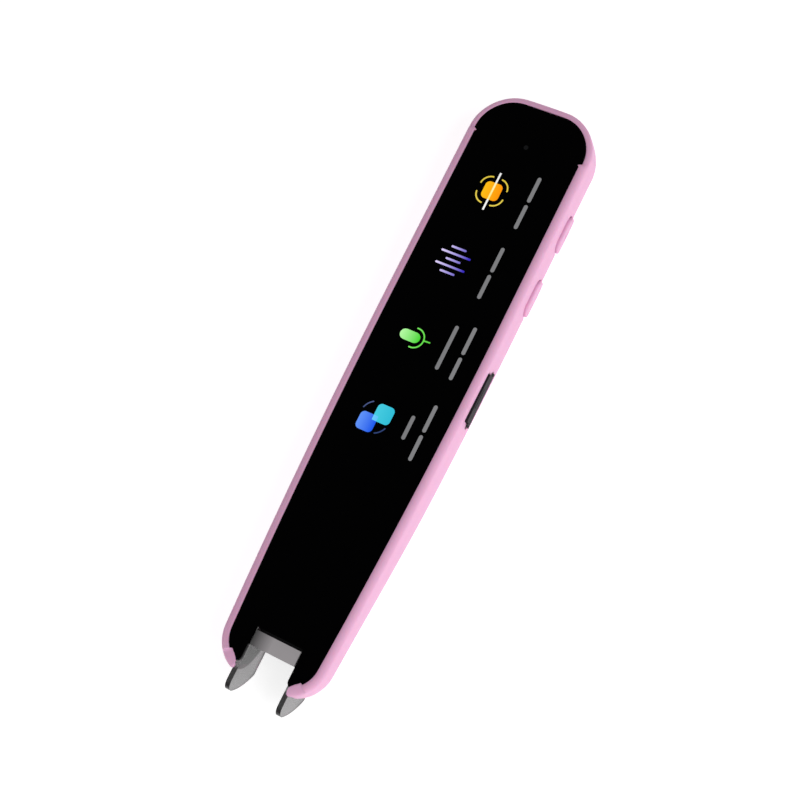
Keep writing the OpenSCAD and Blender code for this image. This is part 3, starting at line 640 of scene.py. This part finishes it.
def flat_points(step_x, step_y, inside):
    """Grid points on the flat back where inside(x, y) is true."""
    found = []
    rows = int((TOP_Y - TIP_Y) / step_y)
    for j in range(rows + 1):
        y = TIP_Y + j * step_y
        if not TIP_Y + EDGE_TIP + TIP_CLEAR < y < TOP_Y - EDGE_TOP - BORDER_CLEAR:
            continue
        u = solve(1.0, 5.0, lambda v: outline(v)[2].y - y)
        half = outline(u)[2].x - BORDER_CLEAR
        count = int(2 * half / step_x)
        for i in range(count + 1):
            x = (i - count / 2) * step_x
            if inside(x, y):
                found.append(Vector((x, y)))
    return found


def in_flutes(x, y):
    return abs(x) < SLOT_FIELD_HALF + 0.1 and FLUTE_LOW - 0.5 < y < FLUTE_TOP + 0.5


def fill_skin(skin, inset, levels, columns, openings, recess):
    """The outer skin, or the inner one where the inset is the wall. Returns its upper row of points."""

    def border(opening):
        return opening.inner_places if inset else opening.outer_places

    ring = recess.rings[-1] if inset else recess.rings[0]
    places = list(border(recess))
    for opening in openings:
        places += border(opening)
    top = [ring[-1]]
    for side, u in columns[1:-1]:
        for q in levels + [2]:
            p = surf(u, q, inset)
            p.x *= side
            if q < 2 and near_opening(p):
                continue
            flat = unrolled(u, q)
            places.append((Vector((side * flat.x, flat.y)), skin.add(p)))
        top.append(places[-1][1])
    top.append(ring[0])
    grid = flat_points(FLAT_STEP, FLAT_STEP, lambda x, y: inset or not in_flutes(x, y))
    if not inset:
        grid += flat_points(*FLUTE_STEP, in_flutes)
    for g in grid:
        p = Vector((g.x, g.y, inset or flute(g.x, g.y)))
        if not near_opening(p):
            places.append((g, skin.add(p)))
    holes = [[index for _, index in border(opening)] for opening in openings]
    skin.fill(places, [top + ring[1:-1]] + holes, holes)
    return top


def make_sleeve(*materials):
    """The sleeve: its openings, its outer and inner skins, and the rim that joins them."""
    skin = Skin()
    openings = sleeve_openings()
    recess = recess_opening(SLEEVE_EDGE)
    for opening in openings + [recess]:
        opening.cut(skin)
    half = sleeve_columns()
    columns = [(1, u) for u in reversed(half)] + [(-1, u) for u in half[1:]]
    outer_top = fill_skin(skin, 0, ARC_LEVELS, columns, openings, recess)
    inner_top = fill_skin(skin, WALL, INNER_LEVELS, columns, openings, recess)
    rows = [outer_top]
    for q in RIM_LEVELS:
        points = [(side, surf(u, q)) for side, u in columns]
        rows.append(skin.row((side * p.x, p.y, p.z) for side, p in points))
    rows.append(inner_top)
    # From the lip's top inwards the rows take the second material, the silicone's painted shade.
    lip_row = 1 + RIM_LEVELS.index(3)
    for k, (a, b) in enumerate(zip(rows, rows[1:])):
        skin.now = 1 if k >= lip_row else 0
        skin.strip(a, b)
    skin.now = 0
    for end in (0, -1):
        chain = [ring[-1 - end] for ring in recess.rings]
        skin.face(*[row[end] for row in rows], *chain[-2:0:-1])
    return skin.build("sleeve", *materials)


# ---------- materials ----------
# A finish is a Principled shader whose colour, roughness and bump vary with noise in object coordinates.

NOISE_LOW, NOISE_HIGH = 0.3, 0.7        # the part of a noise's range that is used
BUMP_HEIGHT = 0.02 * MM
finishes = {}


class Nodes:
    """The nodes of one material, round its Principled shader."""

    def __init__(self, material):
        material.use_nodes = True
        self.nodes = material.node_tree.nodes
        self.links = material.node_tree.links
        self.shader = self.nodes["Principled BSDF"]

    def put(self, socket, value):
        """Gives a socket a number, a colour or another node's output."""
        if isinstance(value, bpy.types.NodeSocket):
            self.links.new(value, socket)
        elif isinstance(value, tuple) and len(value) == 3:
            socket.default_value = (*value, 1)
        else:
            socket.default_value = value

    def coordinate(self, space):
        """Object coordinates, in metres, or normals."""
        return self.nodes.new("ShaderNodeTexCoord").outputs[space]

    def along(self, space, axis):
        """A coordinate along one axis."""
        apart = self.nodes.new("ShaderNodeSeparateXYZ")
        self.put(apart.inputs["Vector"], self.coordinate(space))
        return apart.outputs[axis]

    def noise(self, place, scale, detail):
        node = self.nodes.new("ShaderNodeTexNoise")
        for name, value in (("Vector", place), ("Scale", scale), ("Detail", detail)):
            self.put(node.inputs[name], value)
        return node.outputs["Fac"]

    def scaled(self, value, low, high, start=0.0, stop=1.0):
        """A value's range low to high, stretched to start to stop."""
        node = self.nodes.new("ShaderNodeMapRange")
        for name, given in (("Value", value), ("From Min", low), ("From Max", high), ("To Min", start),
                            ("To Max", stop)):
            self.put(node.inputs[name], given)
        return node.outputs["Result"]

    def blend(self, share, a, b):
        """Mix of two colours."""
        node = self.nodes.new("ShaderNodeMix")
        node.data_type = "RGBA"
        for name, value in (("Factor", share), ("A", a), ("B", b)):
            self.put(node.inputs[name], value)
        return node.outputs["Result"]

    def maths(self, operation, *values):
        node = self.nodes.new("ShaderNodeMath")
        node.operation = operation
        for socket, value in zip(node.inputs, values):
            self.put(socket, value)
        return node.outputs["Value"]


def finish(name, dark, light, rough=(0.45, 0.55), grain=1.5, bump=0.15, bump_grain=9.0,
           streak=(1, 1, 1), **sockets):
    """Material between two colours. Grains are per millimetre, and streak squeezes them along an axis."""
    material = bpy.data.materials.new(name)
    finishes[name] = material
    look = Nodes(material)
    scale = look.nodes.new("ShaderNodeMapping")
    scale.inputs["Scale"].default_value = [v / MM for v in streak]
    look.put(scale.inputs["Vector"], look.coordinate("Object"))
    cloud = look.noise(scale.outputs["Vector"], grain, 4)
    fine = look.noise(scale.outputs["Vector"], bump_grain, 3)
    tint = look.blend(look.scaled(cloud, NOISE_LOW, NOISE_HIGH), dark, light)
    look.put(look.shader.inputs["Base Color"], tint)
    look.put(look.shader.inputs["Roughness"], look.scaled(fine, NOISE_LOW, NOISE_HIGH, *rough))
    if bump:
        relief = look.nodes.new("ShaderNodeBump")
        for socket, value in (("Strength", bump), ("Distance", BUMP_HEIGHT), ("Height", fine)):
            look.put(relief.inputs[socket], value)
        look.put(look.shader.inputs["Normal"], relief.outputs["Normal"])
    for socket, value in sockets.items():
        look.put(look.shader.inputs[socket.replace("_", " ")], value)
    return material


def rgb(*steps):
    """Linear colour from the 0 to 255 steps of a display colour."""
    shares = [step / 255 for step in steps]
    return tuple(v / 12.92 if v <= 0.04045 else ((v + 0.055) / 1.055) ** 2.4 for v in shares)


def near(colour, share):
    """Two colours a little under and over one."""
    return tuple(v * (1 - share) for v in colour), tuple(min(v * (1 + share), 1) for v in colour)


def glow(name, start, end, axis, low, high):
    """Lit screen colour running from start at low to end at high along an axis, in millimetres."""
    material = bpy.data.materials.new(name)
    look = Nodes(material)
    share = look.scaled(look.along("Object", axis), low * MM, high * MM)
    for socket, value in (("Base Color", (0.004, 0.004, 0.004)), ("Roughness", 0.35),
                          ("Specular IOR Level", 0.05), ("Emission Strength", 1.0),
                          ("Emission Color", look.blend(share, start, end))):
        look.put(look.shader.inputs[socket], value)
    return material


SOFT = dict(Subsurface_Weight=0.12, Subsurface_Scale=0.8 * MM, Specular_IOR_Level=0.3, Sheen_Weight=0.08,
            Sheen_Roughness=0.5)
STEEL = dict(Metallic=1.0)

SILICONE = rgb(243, 184, 220)
# Darker copy of the silicone for the lip's top and inner edge: painted shade.
LIP_SILICONE_PAINTED_SHADE = rgb(236, 177, 213)

finish("sleeve_silicone", *near(SILICONE, 0.012), rough=(0.5, 0.62), grain=0.12, **SOFT)
# The lip's material: the silicone with painted shade.
finish("lip_silicone_painted_shade", *near(LIP_SILICONE_PAINTED_SHADE, 0.015), rough=(0.5, 0.6), grain=0.12, **SOFT)
finish("key_silicone", *near(SILICONE, 0.012), rough=(0.45, 0.56), grain=0.4, **SOFT)
finish("housing_plastic", (0.012, 0.012, 0.013), (0.022, 0.022, 0.024), grain=2, Specular_IOR_Level=0.35)
finish("frame_plastic", (0.003, 0.003, 0.003), (0.006, 0.006, 0.006), grain=2, Specular_IOR_Level=0.15)
finish("cover_glass", (0.0001, 0.0001, 0.0002), (0.0002, 0.0002, 0.0003), (0.04, 0.07), 0.3, 0.02, 3,
       Specular_IOR_Level=0.02)
finish("display_panel", (0.012, 0.012, 0.02), (0.02, 0.02, 0.03), (0.1, 0.2))
finish("backlight", (0.68, 0.68, 0.7), (0.78, 0.78, 0.8))
finish("flex_film", (0.45, 0.22, 0.04), (0.62, 0.35, 0.09), (0.2, 0.32), 1.2, streak=(1, 0.2, 1))
finish("board_laminate", (0.012, 0.09, 0.05), (0.02, 0.14, 0.08), (0.25, 0.4), 2.5)
finish("shield_metal", (0.5, 0.51, 0.53), (0.66, 0.67, 0.69), (0.25, 0.4), 2, streak=(0.15, 2, 1),
       **STEEL)
finish("chip_package", (0.02, 0.02, 0.02), (0.035, 0.035, 0.036), (0.5, 0.65), 4)
finish("connector_plastic", (0.55, 0.5, 0.4), (0.68, 0.63, 0.5))
finish("battery_pouch", (0.48, 0.49, 0.51), (0.62, 0.63, 0.65), (0.3, 0.5), 0.5, 0.4, 2.0, Metallic=0.85)
finish("adhesive_foam", (0.03, 0.03, 0.03), (0.07, 0.07, 0.07), (0.8, 0.95), 5, 0.8)
finish("speaker_frame", (0.04, 0.04, 0.045), (0.07, 0.07, 0.075))
# Its dark pink is painted shade: the shaded pink seen down the speaker slots.
finish("speaker_mesh", (0.3, 0.09, 0.21), (0.5, 0.18, 0.37), (0.6, 0.8), 6, 0.9, 8)
finish("receptacle_steel", (0.48, 0.48, 0.5), (0.64, 0.64, 0.66), (0.2, 0.35), 2, streak=(0.2, 2, 2),
       **STEEL)
finish("cover_plastic", *near(rgb(36, 34, 38), 0.15), rough=(0.45, 0.6), grain=2.5,
       Specular_IOR_Level=0.15)
finish("pin_steel", (0.5, 0.5, 0.52), (0.62, 0.62, 0.64), (0.2, 0.3), 3, **STEEL)
finish("plunger_plastic", (0.02, 0.02, 0.02), (0.04, 0.04, 0.04))
finish("microphone_can", (0.5, 0.4, 0.18), (0.65, 0.55, 0.28), (0.25, 0.4), **STEEL)
finish("smoked_clear", (0.27, 0.27, 0.27), (0.31, 0.31, 0.31), (0.03, 0.08), 0.5, 0.05, 4, IOR=1.45)
finish("spring_steel", (0.5, 0.5, 0.52), (0.65, 0.65, 0.67), (0.2, 0.3), 4, **STEEL)
finish("window_black", (0.003, 0.003, 0.004), (0.006, 0.006, 0.008), (0.05, 0.1))
finish("lens_glass", (0.05, 0.06, 0.09), (0.1, 0.12, 0.16), (0.02, 0.05), 1, 0, Transmission_Weight=0.6,
       Coat_Weight=0.8)
finish("led_resin", (0.75, 0.7, 0.35), (0.9, 0.85, 0.5), (0.2, 0.3))
finish("screw_steel", (0.45, 0.45, 0.47), (0.6, 0.6, 0.62), (0.3, 0.45), 3, **STEEL)

# The fork's front bar and fins
BAR_HALF = 6.05
BAR_LOW = 8.0
BAR_SHADE_RUN = (-6.0, -1.0)      # from here to here it goes from painted shade to a milky grey that stands in for the pale floor seen through the bar
# The bar's colours: painted shade, and a milky grey painted for the floor seen through it
BAR_PAINTED_SHADE_AND_LIGHT = ((0.06, 0.06, 0.06), (0.52, 0.49, 0.505))
BAR_CLEAR = 0.12
FIN_CLEAR = 0.85
FIN_EDGE = (0.12, 0.55)     # from plain to painted dark shade, by how squarely a face looks along Y
# Colour of that painted shade
FIN_EDGE_PAINTED_SHADE = (0.06, 0.06, 0.062)


def smoke(material):
    """Smoked plastic: clear in the fins, with painted dark shade on faces that look along Y; the front bar
    nearly opaque, its colour running from painted shade at its -X end to a milky grey that stands in for
    the pale floor seen through it.
    """
    look = Nodes(material)
    base = look.shader.inputs["Base Color"]
    plain = base.links[0].from_socket
    x = look.along("Object", "X")
    between = look.maths("LESS_THAN", look.maths("ABSOLUTE", x), BAR_HALF * MM)
    above = look.maths("GREATER_THAN", look.along("Object", "Z"), BAR_LOW * MM)
    bar = look.maths("MULTIPLY", between, above)
    # Painted shade at the bar's -X end, running to the painted milky grey of the floor seen through it
    run = look.scaled(x, *(end * MM for end in BAR_SHADE_RUN))
    body = look.blend(bar, plain, look.blend(run, *BAR_PAINTED_SHADE_AND_LIGHT))
    # Painted dark shade on faces that look along Y
    edge_on_shade = look.scaled(look.maths("ABSOLUTE", look.along("Normal", "Y")), *FIN_EDGE)
    look.put(base, look.blend(edge_on_shade, body, FIN_EDGE_PAINTED_SHADE))
    clear = look.scaled(bar, 0.0, 1.0, FIN_CLEAR, BAR_CLEAR)
    look.put(look.shader.inputs["Transmission Weight"], clear)


smoke(finishes["smoked_clear"])

for part in frame["record"]["subparts"]:
    node = frame["nodes"][part["node"]]
    node.data.materials.clear()
    node.data.materials.append(finishes[part["material_slot"]])


def soften(node, width):
    """Rounds a CAD node's edges with modifiers, and leaves its mesh alone."""
    part = frame["nodes"][node]
    flat = part.modifiers.new("flat", "DECIMATE")
    flat.decimate_type = "DISSOLVE"
    flat.angle_limit = math.radians(1)
    bevel = part.modifiers.new("bevel", "BEVEL")
    bevel.width = width * MM
    bevel.segments = 3
    bevel.limit_method = "ANGLE"
    bevel.angle_limit = math.radians(35)
    bevel.harden_normals = True


soften("scan_fork", 0.3)
soften("port_cover", 0.25)


def place_piece(piece, body, slot, *nodes):
    """Hangs a piece on its body, and hides the nodes that it stands for. Its slot is not used."""
    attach(piece, body)
    if nodes:
        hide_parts(*nodes)


sleeve = make_sleeve(finishes["sleeve_silicone"], finishes["lip_silicone_painted_shade"])
place_piece(sleeve, "device", "sleeve_silicone", "silicone_sleeve")


# ---------- side keys ----------

KEY_RISE = 0.55             # above the sleeve's side
KEY_SKIRT = -0.4            # a ring of points below it
KEY_CROWN = 0.1
KEY_EDGE = 0.4
KEY_GRID = 0.16
GRID_ROOM = 0.12            # between the grid and the rounded edge
ICON_HALF = 0.14            # half the width of a sign's lines
ICON_SOFT = 0.1             # width of their sloping sides
ICON_DEPTH = 0.12
RING_R = 1.05
RING_GAP = math.radians(38)     # half of it


def away(p, a, b):
    """Distance of p from the line a to b."""
    along = b - a
    t = min(max((p - a).dot(along) / along.length_squared, 0), 1)
    return (p - a - along * t).length


def power_icon(p):
    """Distance from the lines of a broken ring with an upright bar in its gap."""
    turned = max(abs(math.atan2(p.x, p.y)), RING_GAP)
    ring = Vector((math.copysign(math.sin(turned), p.x), math.cos(turned))) * RING_R
    return min((p - ring).length, away(p, Vector((0, 0.25)), Vector((0, 1.2))))


def home_icon(p):
    """Distance from the lines of a small house."""
    p = Vector((abs(p.x), p.y))
    roof = (0, 1.15), (1.25, 0.1)
    wall = (0.85, 0.1), (0.85, -1.0)
    foot = (0.85, -1.0), (0, -1.0)
    return min(away(p, Vector(a), Vector(b)) for a, b in (roof, wall, foot))


def make_key(name, icon):
    """A key's cap, crowned and rounded, with its sign pressed in."""
    low, high = key_boxes[name]
    size = high - low
    centre = Vector((middle(low.y, high.y), middle(low.z, high.z)))
    loop = rounded_rect(size.y, size.z, KEY_R)
    normals = loop_normals(loop)
    half = Vector((size.y / 2, size.z / 2))

    def face_x(p, height):
        y, z = centre + p
        return Vector((surf(*on_side(y, z)).x + height, y, z))

    def crown(p):
        return KEY_CROWN * max(1 - (p.x / half.x) ** 2, 0) * max(1 - (p.y / half.y) ** 2, 0)

    skin = Skin()
    rings = [skin.row(Vector((low.x, *(centre + p))) for p in loop)]
    for height in (KEY_SKIRT, 0.0):
        rings.append(skin.row(face_x(p, height) for p in loop))
    for inward, depth in reversed(edge_steps(KEY_EDGE, 5)):
        spread = [p - n * inward for p, n in zip(loop, normals)]
        rings.append(skin.row(face_x(p, KEY_RISE - depth + crown(p)) for p in spread))
    for a, b in zip(rings, rings[1:]):
        skin.strip(a, b, True)
    places = list(zip(spread, rings[-1]))
    count = (int(size.y / KEY_GRID), int(size.z / KEY_GRID))
    limit = (half.x - KEY_EDGE - GRID_ROOM, half.y - KEY_EDGE - GRID_ROOM)
    corner = KEY_R - KEY_EDGE
    for i in range(count[0]):
        for j in range(count[1]):
            p = Vector(((i + 0.5) / count[0] * size.y - half.x, (j + 0.5) / count[1] * size.z - half.y))
            over = Vector((max(abs(p.x) - limit[0] + corner, 0), max(abs(p.y) - limit[1] + corner, 0)))
            if abs(p.x) > limit[0] or abs(p.y) > limit[1] or over.length > corner:
                continue
            cut = 1 - ramp(ICON_HALF, ICON_HALF + ICON_SOFT, icon(Vector((p.y, p.x))))
            places.append((p, skin.add(face_x(p, KEY_RISE + crown(p) - ICON_DEPTH * cut))))
    skin.fill(places, [rings[-1]], [])
    skin.face(*rings[0])
    return skin.build(name + "_cap", finishes["key_silicone"])


for key, icon in (("power_key", power_icon), ("home_key", home_icon)):
    place_piece(make_key(key, icon), key, "key_silicone", key + "_pad")


# ---------- what the screen shows ----------
# Plates standing a hair proud of the glass. Icons only: the words beside them are plain bars.

MARK_LOW = GLASS_TOP - 0.04
MARK_TOP = GLASS_TOP + 0.015
MARK_LAYER = 0.006          # a mark over another one stands this much higher


def plate(skin, loop, top=MARK_TOP):
    """A flat plate within a loop."""
    rows = [skin.row(Vector((*p, z)) for p in loop) for z in (MARK_LOW, top)]
    skin.strip(*rows, True)
    skin.face(*rows[1])
    skin.face(*reversed(rows[0]))


def line(skin, path, width, top=MARK_TOP, round_ends=True):
    """A flat ribbon along a path."""
    half = width / 2
    path = [Vector(p) for p in path]
    ways = [(path[min(i + 1, len(path) - 1)] - path[max(i - 1, 0)]).normalized() for i in range(len(path))]
    steps = [(p, w, half) for p, w in zip(path, ways)]
    if round_ends:
        turn = [toward(math.radians(90 - a)) * half for a in (25, 50, 70, 84)]
        steps = ([(path[0] - ways[0] * ahead, ways[0], side) for ahead, side in reversed(turn)] + steps
                 + [(path[-1] + ways[-1] * ahead, ways[-1], side) for ahead, side in turn])
    left = [p + Vector((-w.y, w.x)) * h for p, w, h in steps]
    right = [p - Vector((-w.y, w.x)) * h for p, w, h in steps]
    rows = [skin.row(Vector((*p, z)) for p in side)
            for side, z in ((left, MARK_LOW), (left, top), (right, top), (right, MARK_LOW))]
    for a, b in zip(rows, rows[1:] + rows[:1]):
        skin.strip(a, b)
    for end in (0, -1):
        skin.face(*[row[end] for row in rows])


def arc(centre, r, start, stop, steps=12):
    """Points on a circle between two angles in degrees."""
    angles = [math.radians(mix(start, stop, i / steps)) for i in range(steps + 1)]
    return [Vector(centre) + toward(a) * r for a in angles]


def square(centre, half, r):
    """Loop of a square with round corners."""
    return [Vector(centre) + p for p in rounded_rect(2 * half, 2 * half, r, 8, 2)]


def show(name, skin, *materials):
    """Makes the marks in a skin one piece of the screen."""
    place_piece(skin.build(name, *materials, smooth_angle=30), "device", "display_panel")


def lookup_icon():
    """An orange square in a ring of four arcs, with an upright bar over them."""
    skin = Skin()
    centre = Vector((-2.85, 50.38))
    square_half, corner_r = 2.2, 1.1
    bar_x, bar_w = -2.8, 0.46
    plate(skin, square(centre, square_half, corner_r))
    skin.now = 1
    for quarter in range(4):
        shifted = centre + toward(math.radians(90 * quarter + 45)) * 1.35
        line(skin, arc(shifted, 2.5, 90 * quarter + 5, 90 * quarter + 85), 0.36)
    for low, high, colour in ((45.4, 48.2, 2), (48.2, 52.6, 3), (52.6, 55.3, 2)):
        skin.now = colour
        line(skin, [(bar_x, low), (bar_x, high)], bar_w, MARK_TOP + 0.01, round_ends=False)
    show("icon_lookup", skin,
         glow("lit_orange", rgb(253, 190, 18), rgb(255, 152, 0), "X", -5, -1),
         glow("lit_yellow", rgb(228, 205, 80), rgb(222, 196, 66), "Y", 47, 54.5),
         glow("lit_white", rgb(250, 250, 245), rgb(240, 240, 240), "Y", 46, 55.5),
         glow("lit_cream", rgb(255, 236, 130), rgb(255, 246, 190), "Y", 48.6, 52.9))


def record_icon():
    """Five level strokes of a sound wave."""
    skin = Skin()
    stroke_w = 0.52
    for y, left, right in ((34.5, -5.4, -1.95), (32.92, -7.3, -0.1), (31.34, -5.4, -2.0),
                           (29.72, -7.35, -0.15), (28.14, -5.4, -2.0)):
        line(skin, [(left, y), (right, y)], stroke_w)
    show("icon_record", skin, glow("lit_violet", rgb(222, 208, 250), rgb(58, 44, 190), "X", -7.4, -0.3))


def speak_icon():
    """A microphone on its side, with its cradle and stem."""
    skin = Skin()
    head_w, stem_w = 2.6, 0.34
    line(skin, [(-6.1, 10.9), (-3.5, 10.9)], head_w)
    skin.now = 1
    line(skin, arc((-3.65, 10.84), 2.4, -95, 95, 24), stem_w)
    line(skin, [(-1.2, 11.0), (0.3, 11.1)], stem_w)
    show("icon_speak", skin,
         glow("lit_green", rgb(184, 252, 166), rgb(64, 214, 40), "X", -7.5, -2.2),
         glow("lit_leaf", rgb(120, 235, 95), rgb(95, 215, 70), "X", -4, 0))


def scan_icon():
    """Two squares that overlap at a corner, between two arcs."""
    skin = Skin()
    square_half, corner_r = 2.18, 1.1
    arc_c, arc_r, arc_w = (-3.51, -9.77), 3.8, 0.3
    plate(skin, square((-4.89, -11.5), square_half, corner_r))
    skin.now = 1
    plate(skin, square((-1.83, -8.41), square_half, corner_r), MARK_TOP + MARK_LAYER)
    skin.now = 2
    plate(skin, square((-3.36, -9.95), 0.62, 0.2), MARK_TOP + 2 * MARK_LAYER)
    skin.now = 3
    for start, stop in ((122, 162), (-65, -24)):
        line(skin, arc(arc_c, arc_r, start, stop), arc_w)
    show("icon_scan", skin,
         glow("lit_blue", rgb(98, 150, 250), rgb(30, 92, 235), "X", -7.2, -3),
         glow("lit_cyan", rgb(70, 205, 225), rgb(48, 190, 215), "X", -4.2, 0),
         glow("lit_sky", rgb(110, 208, 255), rgb(96, 196, 250), "X", -4.2, -3),
         glow("lit_slate", rgb(84, 96, 142), rgb(46, 66, 116), "Y", -5, -12))


# Columns of bars, each with its x and where the bars start and stop
LABEL_W = 0.95
LABEL_BARS = ((6.5, ((44.2, 49.6), (51.3, 57.0))), (6.1, ((25.5, 30.8), (32.5, 38.0))),
              (4.6, ((6.4, 16.8),)), (8.75, ((5.4, 10.2), (11.9, 18.0))),
              (4.9, ((-11.5, -6.4),)), (8.65, ((-15.3, -9.8), (-8.1, -2.2))))


def label_bars():
    """Bars that stand for the words beside the icons."""
    skin = Skin()
    for x, spans in LABEL_BARS:
        for low, high in spans:
            line(skin, [(x, low), (x, high)], LABEL_W)
    show("label_bars", skin, glow("lit_grey", rgb(120, 120, 122), rgb(128, 128, 130), "X", 3, 9))


def light_sensor():
    """The dark dot above the icons."""
    skin = Skin()
    plate(skin, square((-0.1, 63.3), 0.55, 0.5))
    show("light_sensor", skin, glow("sensor_grey", rgb(9, 9, 11), rgb(13, 13, 15), "X", -1, 1))


for make_mark in (lookup_icon, record_icon, speak_icon, scan_icon, label_bars, light_sensor):
    make_mark()


# ---------- floor, light, camera ----------

FLOOR_HALF = 6.0            # metres
FLOOR_Z = -0.05 * MM

floor_mesh = bpy.data.meshes.new("floor")
floor_corners = [(x * FLOOR_HALF, y * FLOOR_HALF, FLOOR_Z) for x, y in ((-1, -1), (1, -1), (1, 1), (-1, 1))]
floor_mesh.from_pydata(floor_corners, [], [(0, 1, 2, 3)])
floor_mesh.materials.append(finish("floor_white", (0.69, 0.69, 0.69), (0.71, 0.71, 0.71), (0.8, 0.9),
                                   0.02, 0, Specular_IOR_Level=0.05,
                                   Emission_Color=(1, 1, 1, 1), Emission_Strength=0.7))
floor = bpy.data.objects.new("floor", floor_mesh)
bpy.context.collection.objects.link(floor)


def softbox(name, place, target, size, power):
    """A square lamp, in metres and watts, that looks at a target."""
    lamp = bpy.data.lights.new(name, "AREA")
    lamp.shape = "SQUARE"
    lamp.size = size
    lamp.energy = power
    holder = bpy.data.objects.new(name, lamp)
    holder.location = place
    holder.rotation_euler = (Vector(target) - Vector(place)).to_track_quat("-Z", "Y").to_euler()
    bpy.context.collection.objects.link(holder)


softbox("key_light", (0.75, -0.05, 0.65), (0, 0, 0), 0.6, 3.6)
softbox("low_light", (0.1, -0.9, 0.45), (0, -0.03, 0), 0.6, 1.8)
softbox("fill_light", (-0.8, -0.3, 0.45), (0, 0, 0), 0.7, 0.2)

world = bpy.data.worlds.new("studio")
world.use_nodes = True
sky = world.node_tree.nodes["Background"]
sky.inputs["Color"].default_value = (1, 1, 1, 1)
sky.inputs["Strength"].default_value = 0.3
bpy.context.scene.world = world
bpy.context.scene.view_settings.view_transform = "Standard"

CAMERA_LENS = 71.91
CAMERA_PLACE = Vector((128.091, -62.336, 349.875))
CAMERA_RIGHT = Vector((0.8609027, 0.4431756, -0.2498838))
CAMERA_UP = Vector((-0.3686538, 0.8818718, 0.2939327))
CAMERA_BACK = Vector((0.3506293, -0.1609269, 0.9225842))

camera_data = bpy.data.cameras.new("camera")
camera_data.sensor_width = 36
camera_data.lens = CAMERA_LENS
camera_data.clip_start = 0.01
camera = bpy.data.objects.new("camera", camera_data)
turn = Matrix((CAMERA_RIGHT, CAMERA_UP, CAMERA_BACK)).transposed().to_4x4()
camera.matrix_world = Matrix.Translation(CAMERA_PLACE * MM) @ turn
bpy.context.collection.objects.link(camera)
bpy.context.scene.camera = camera
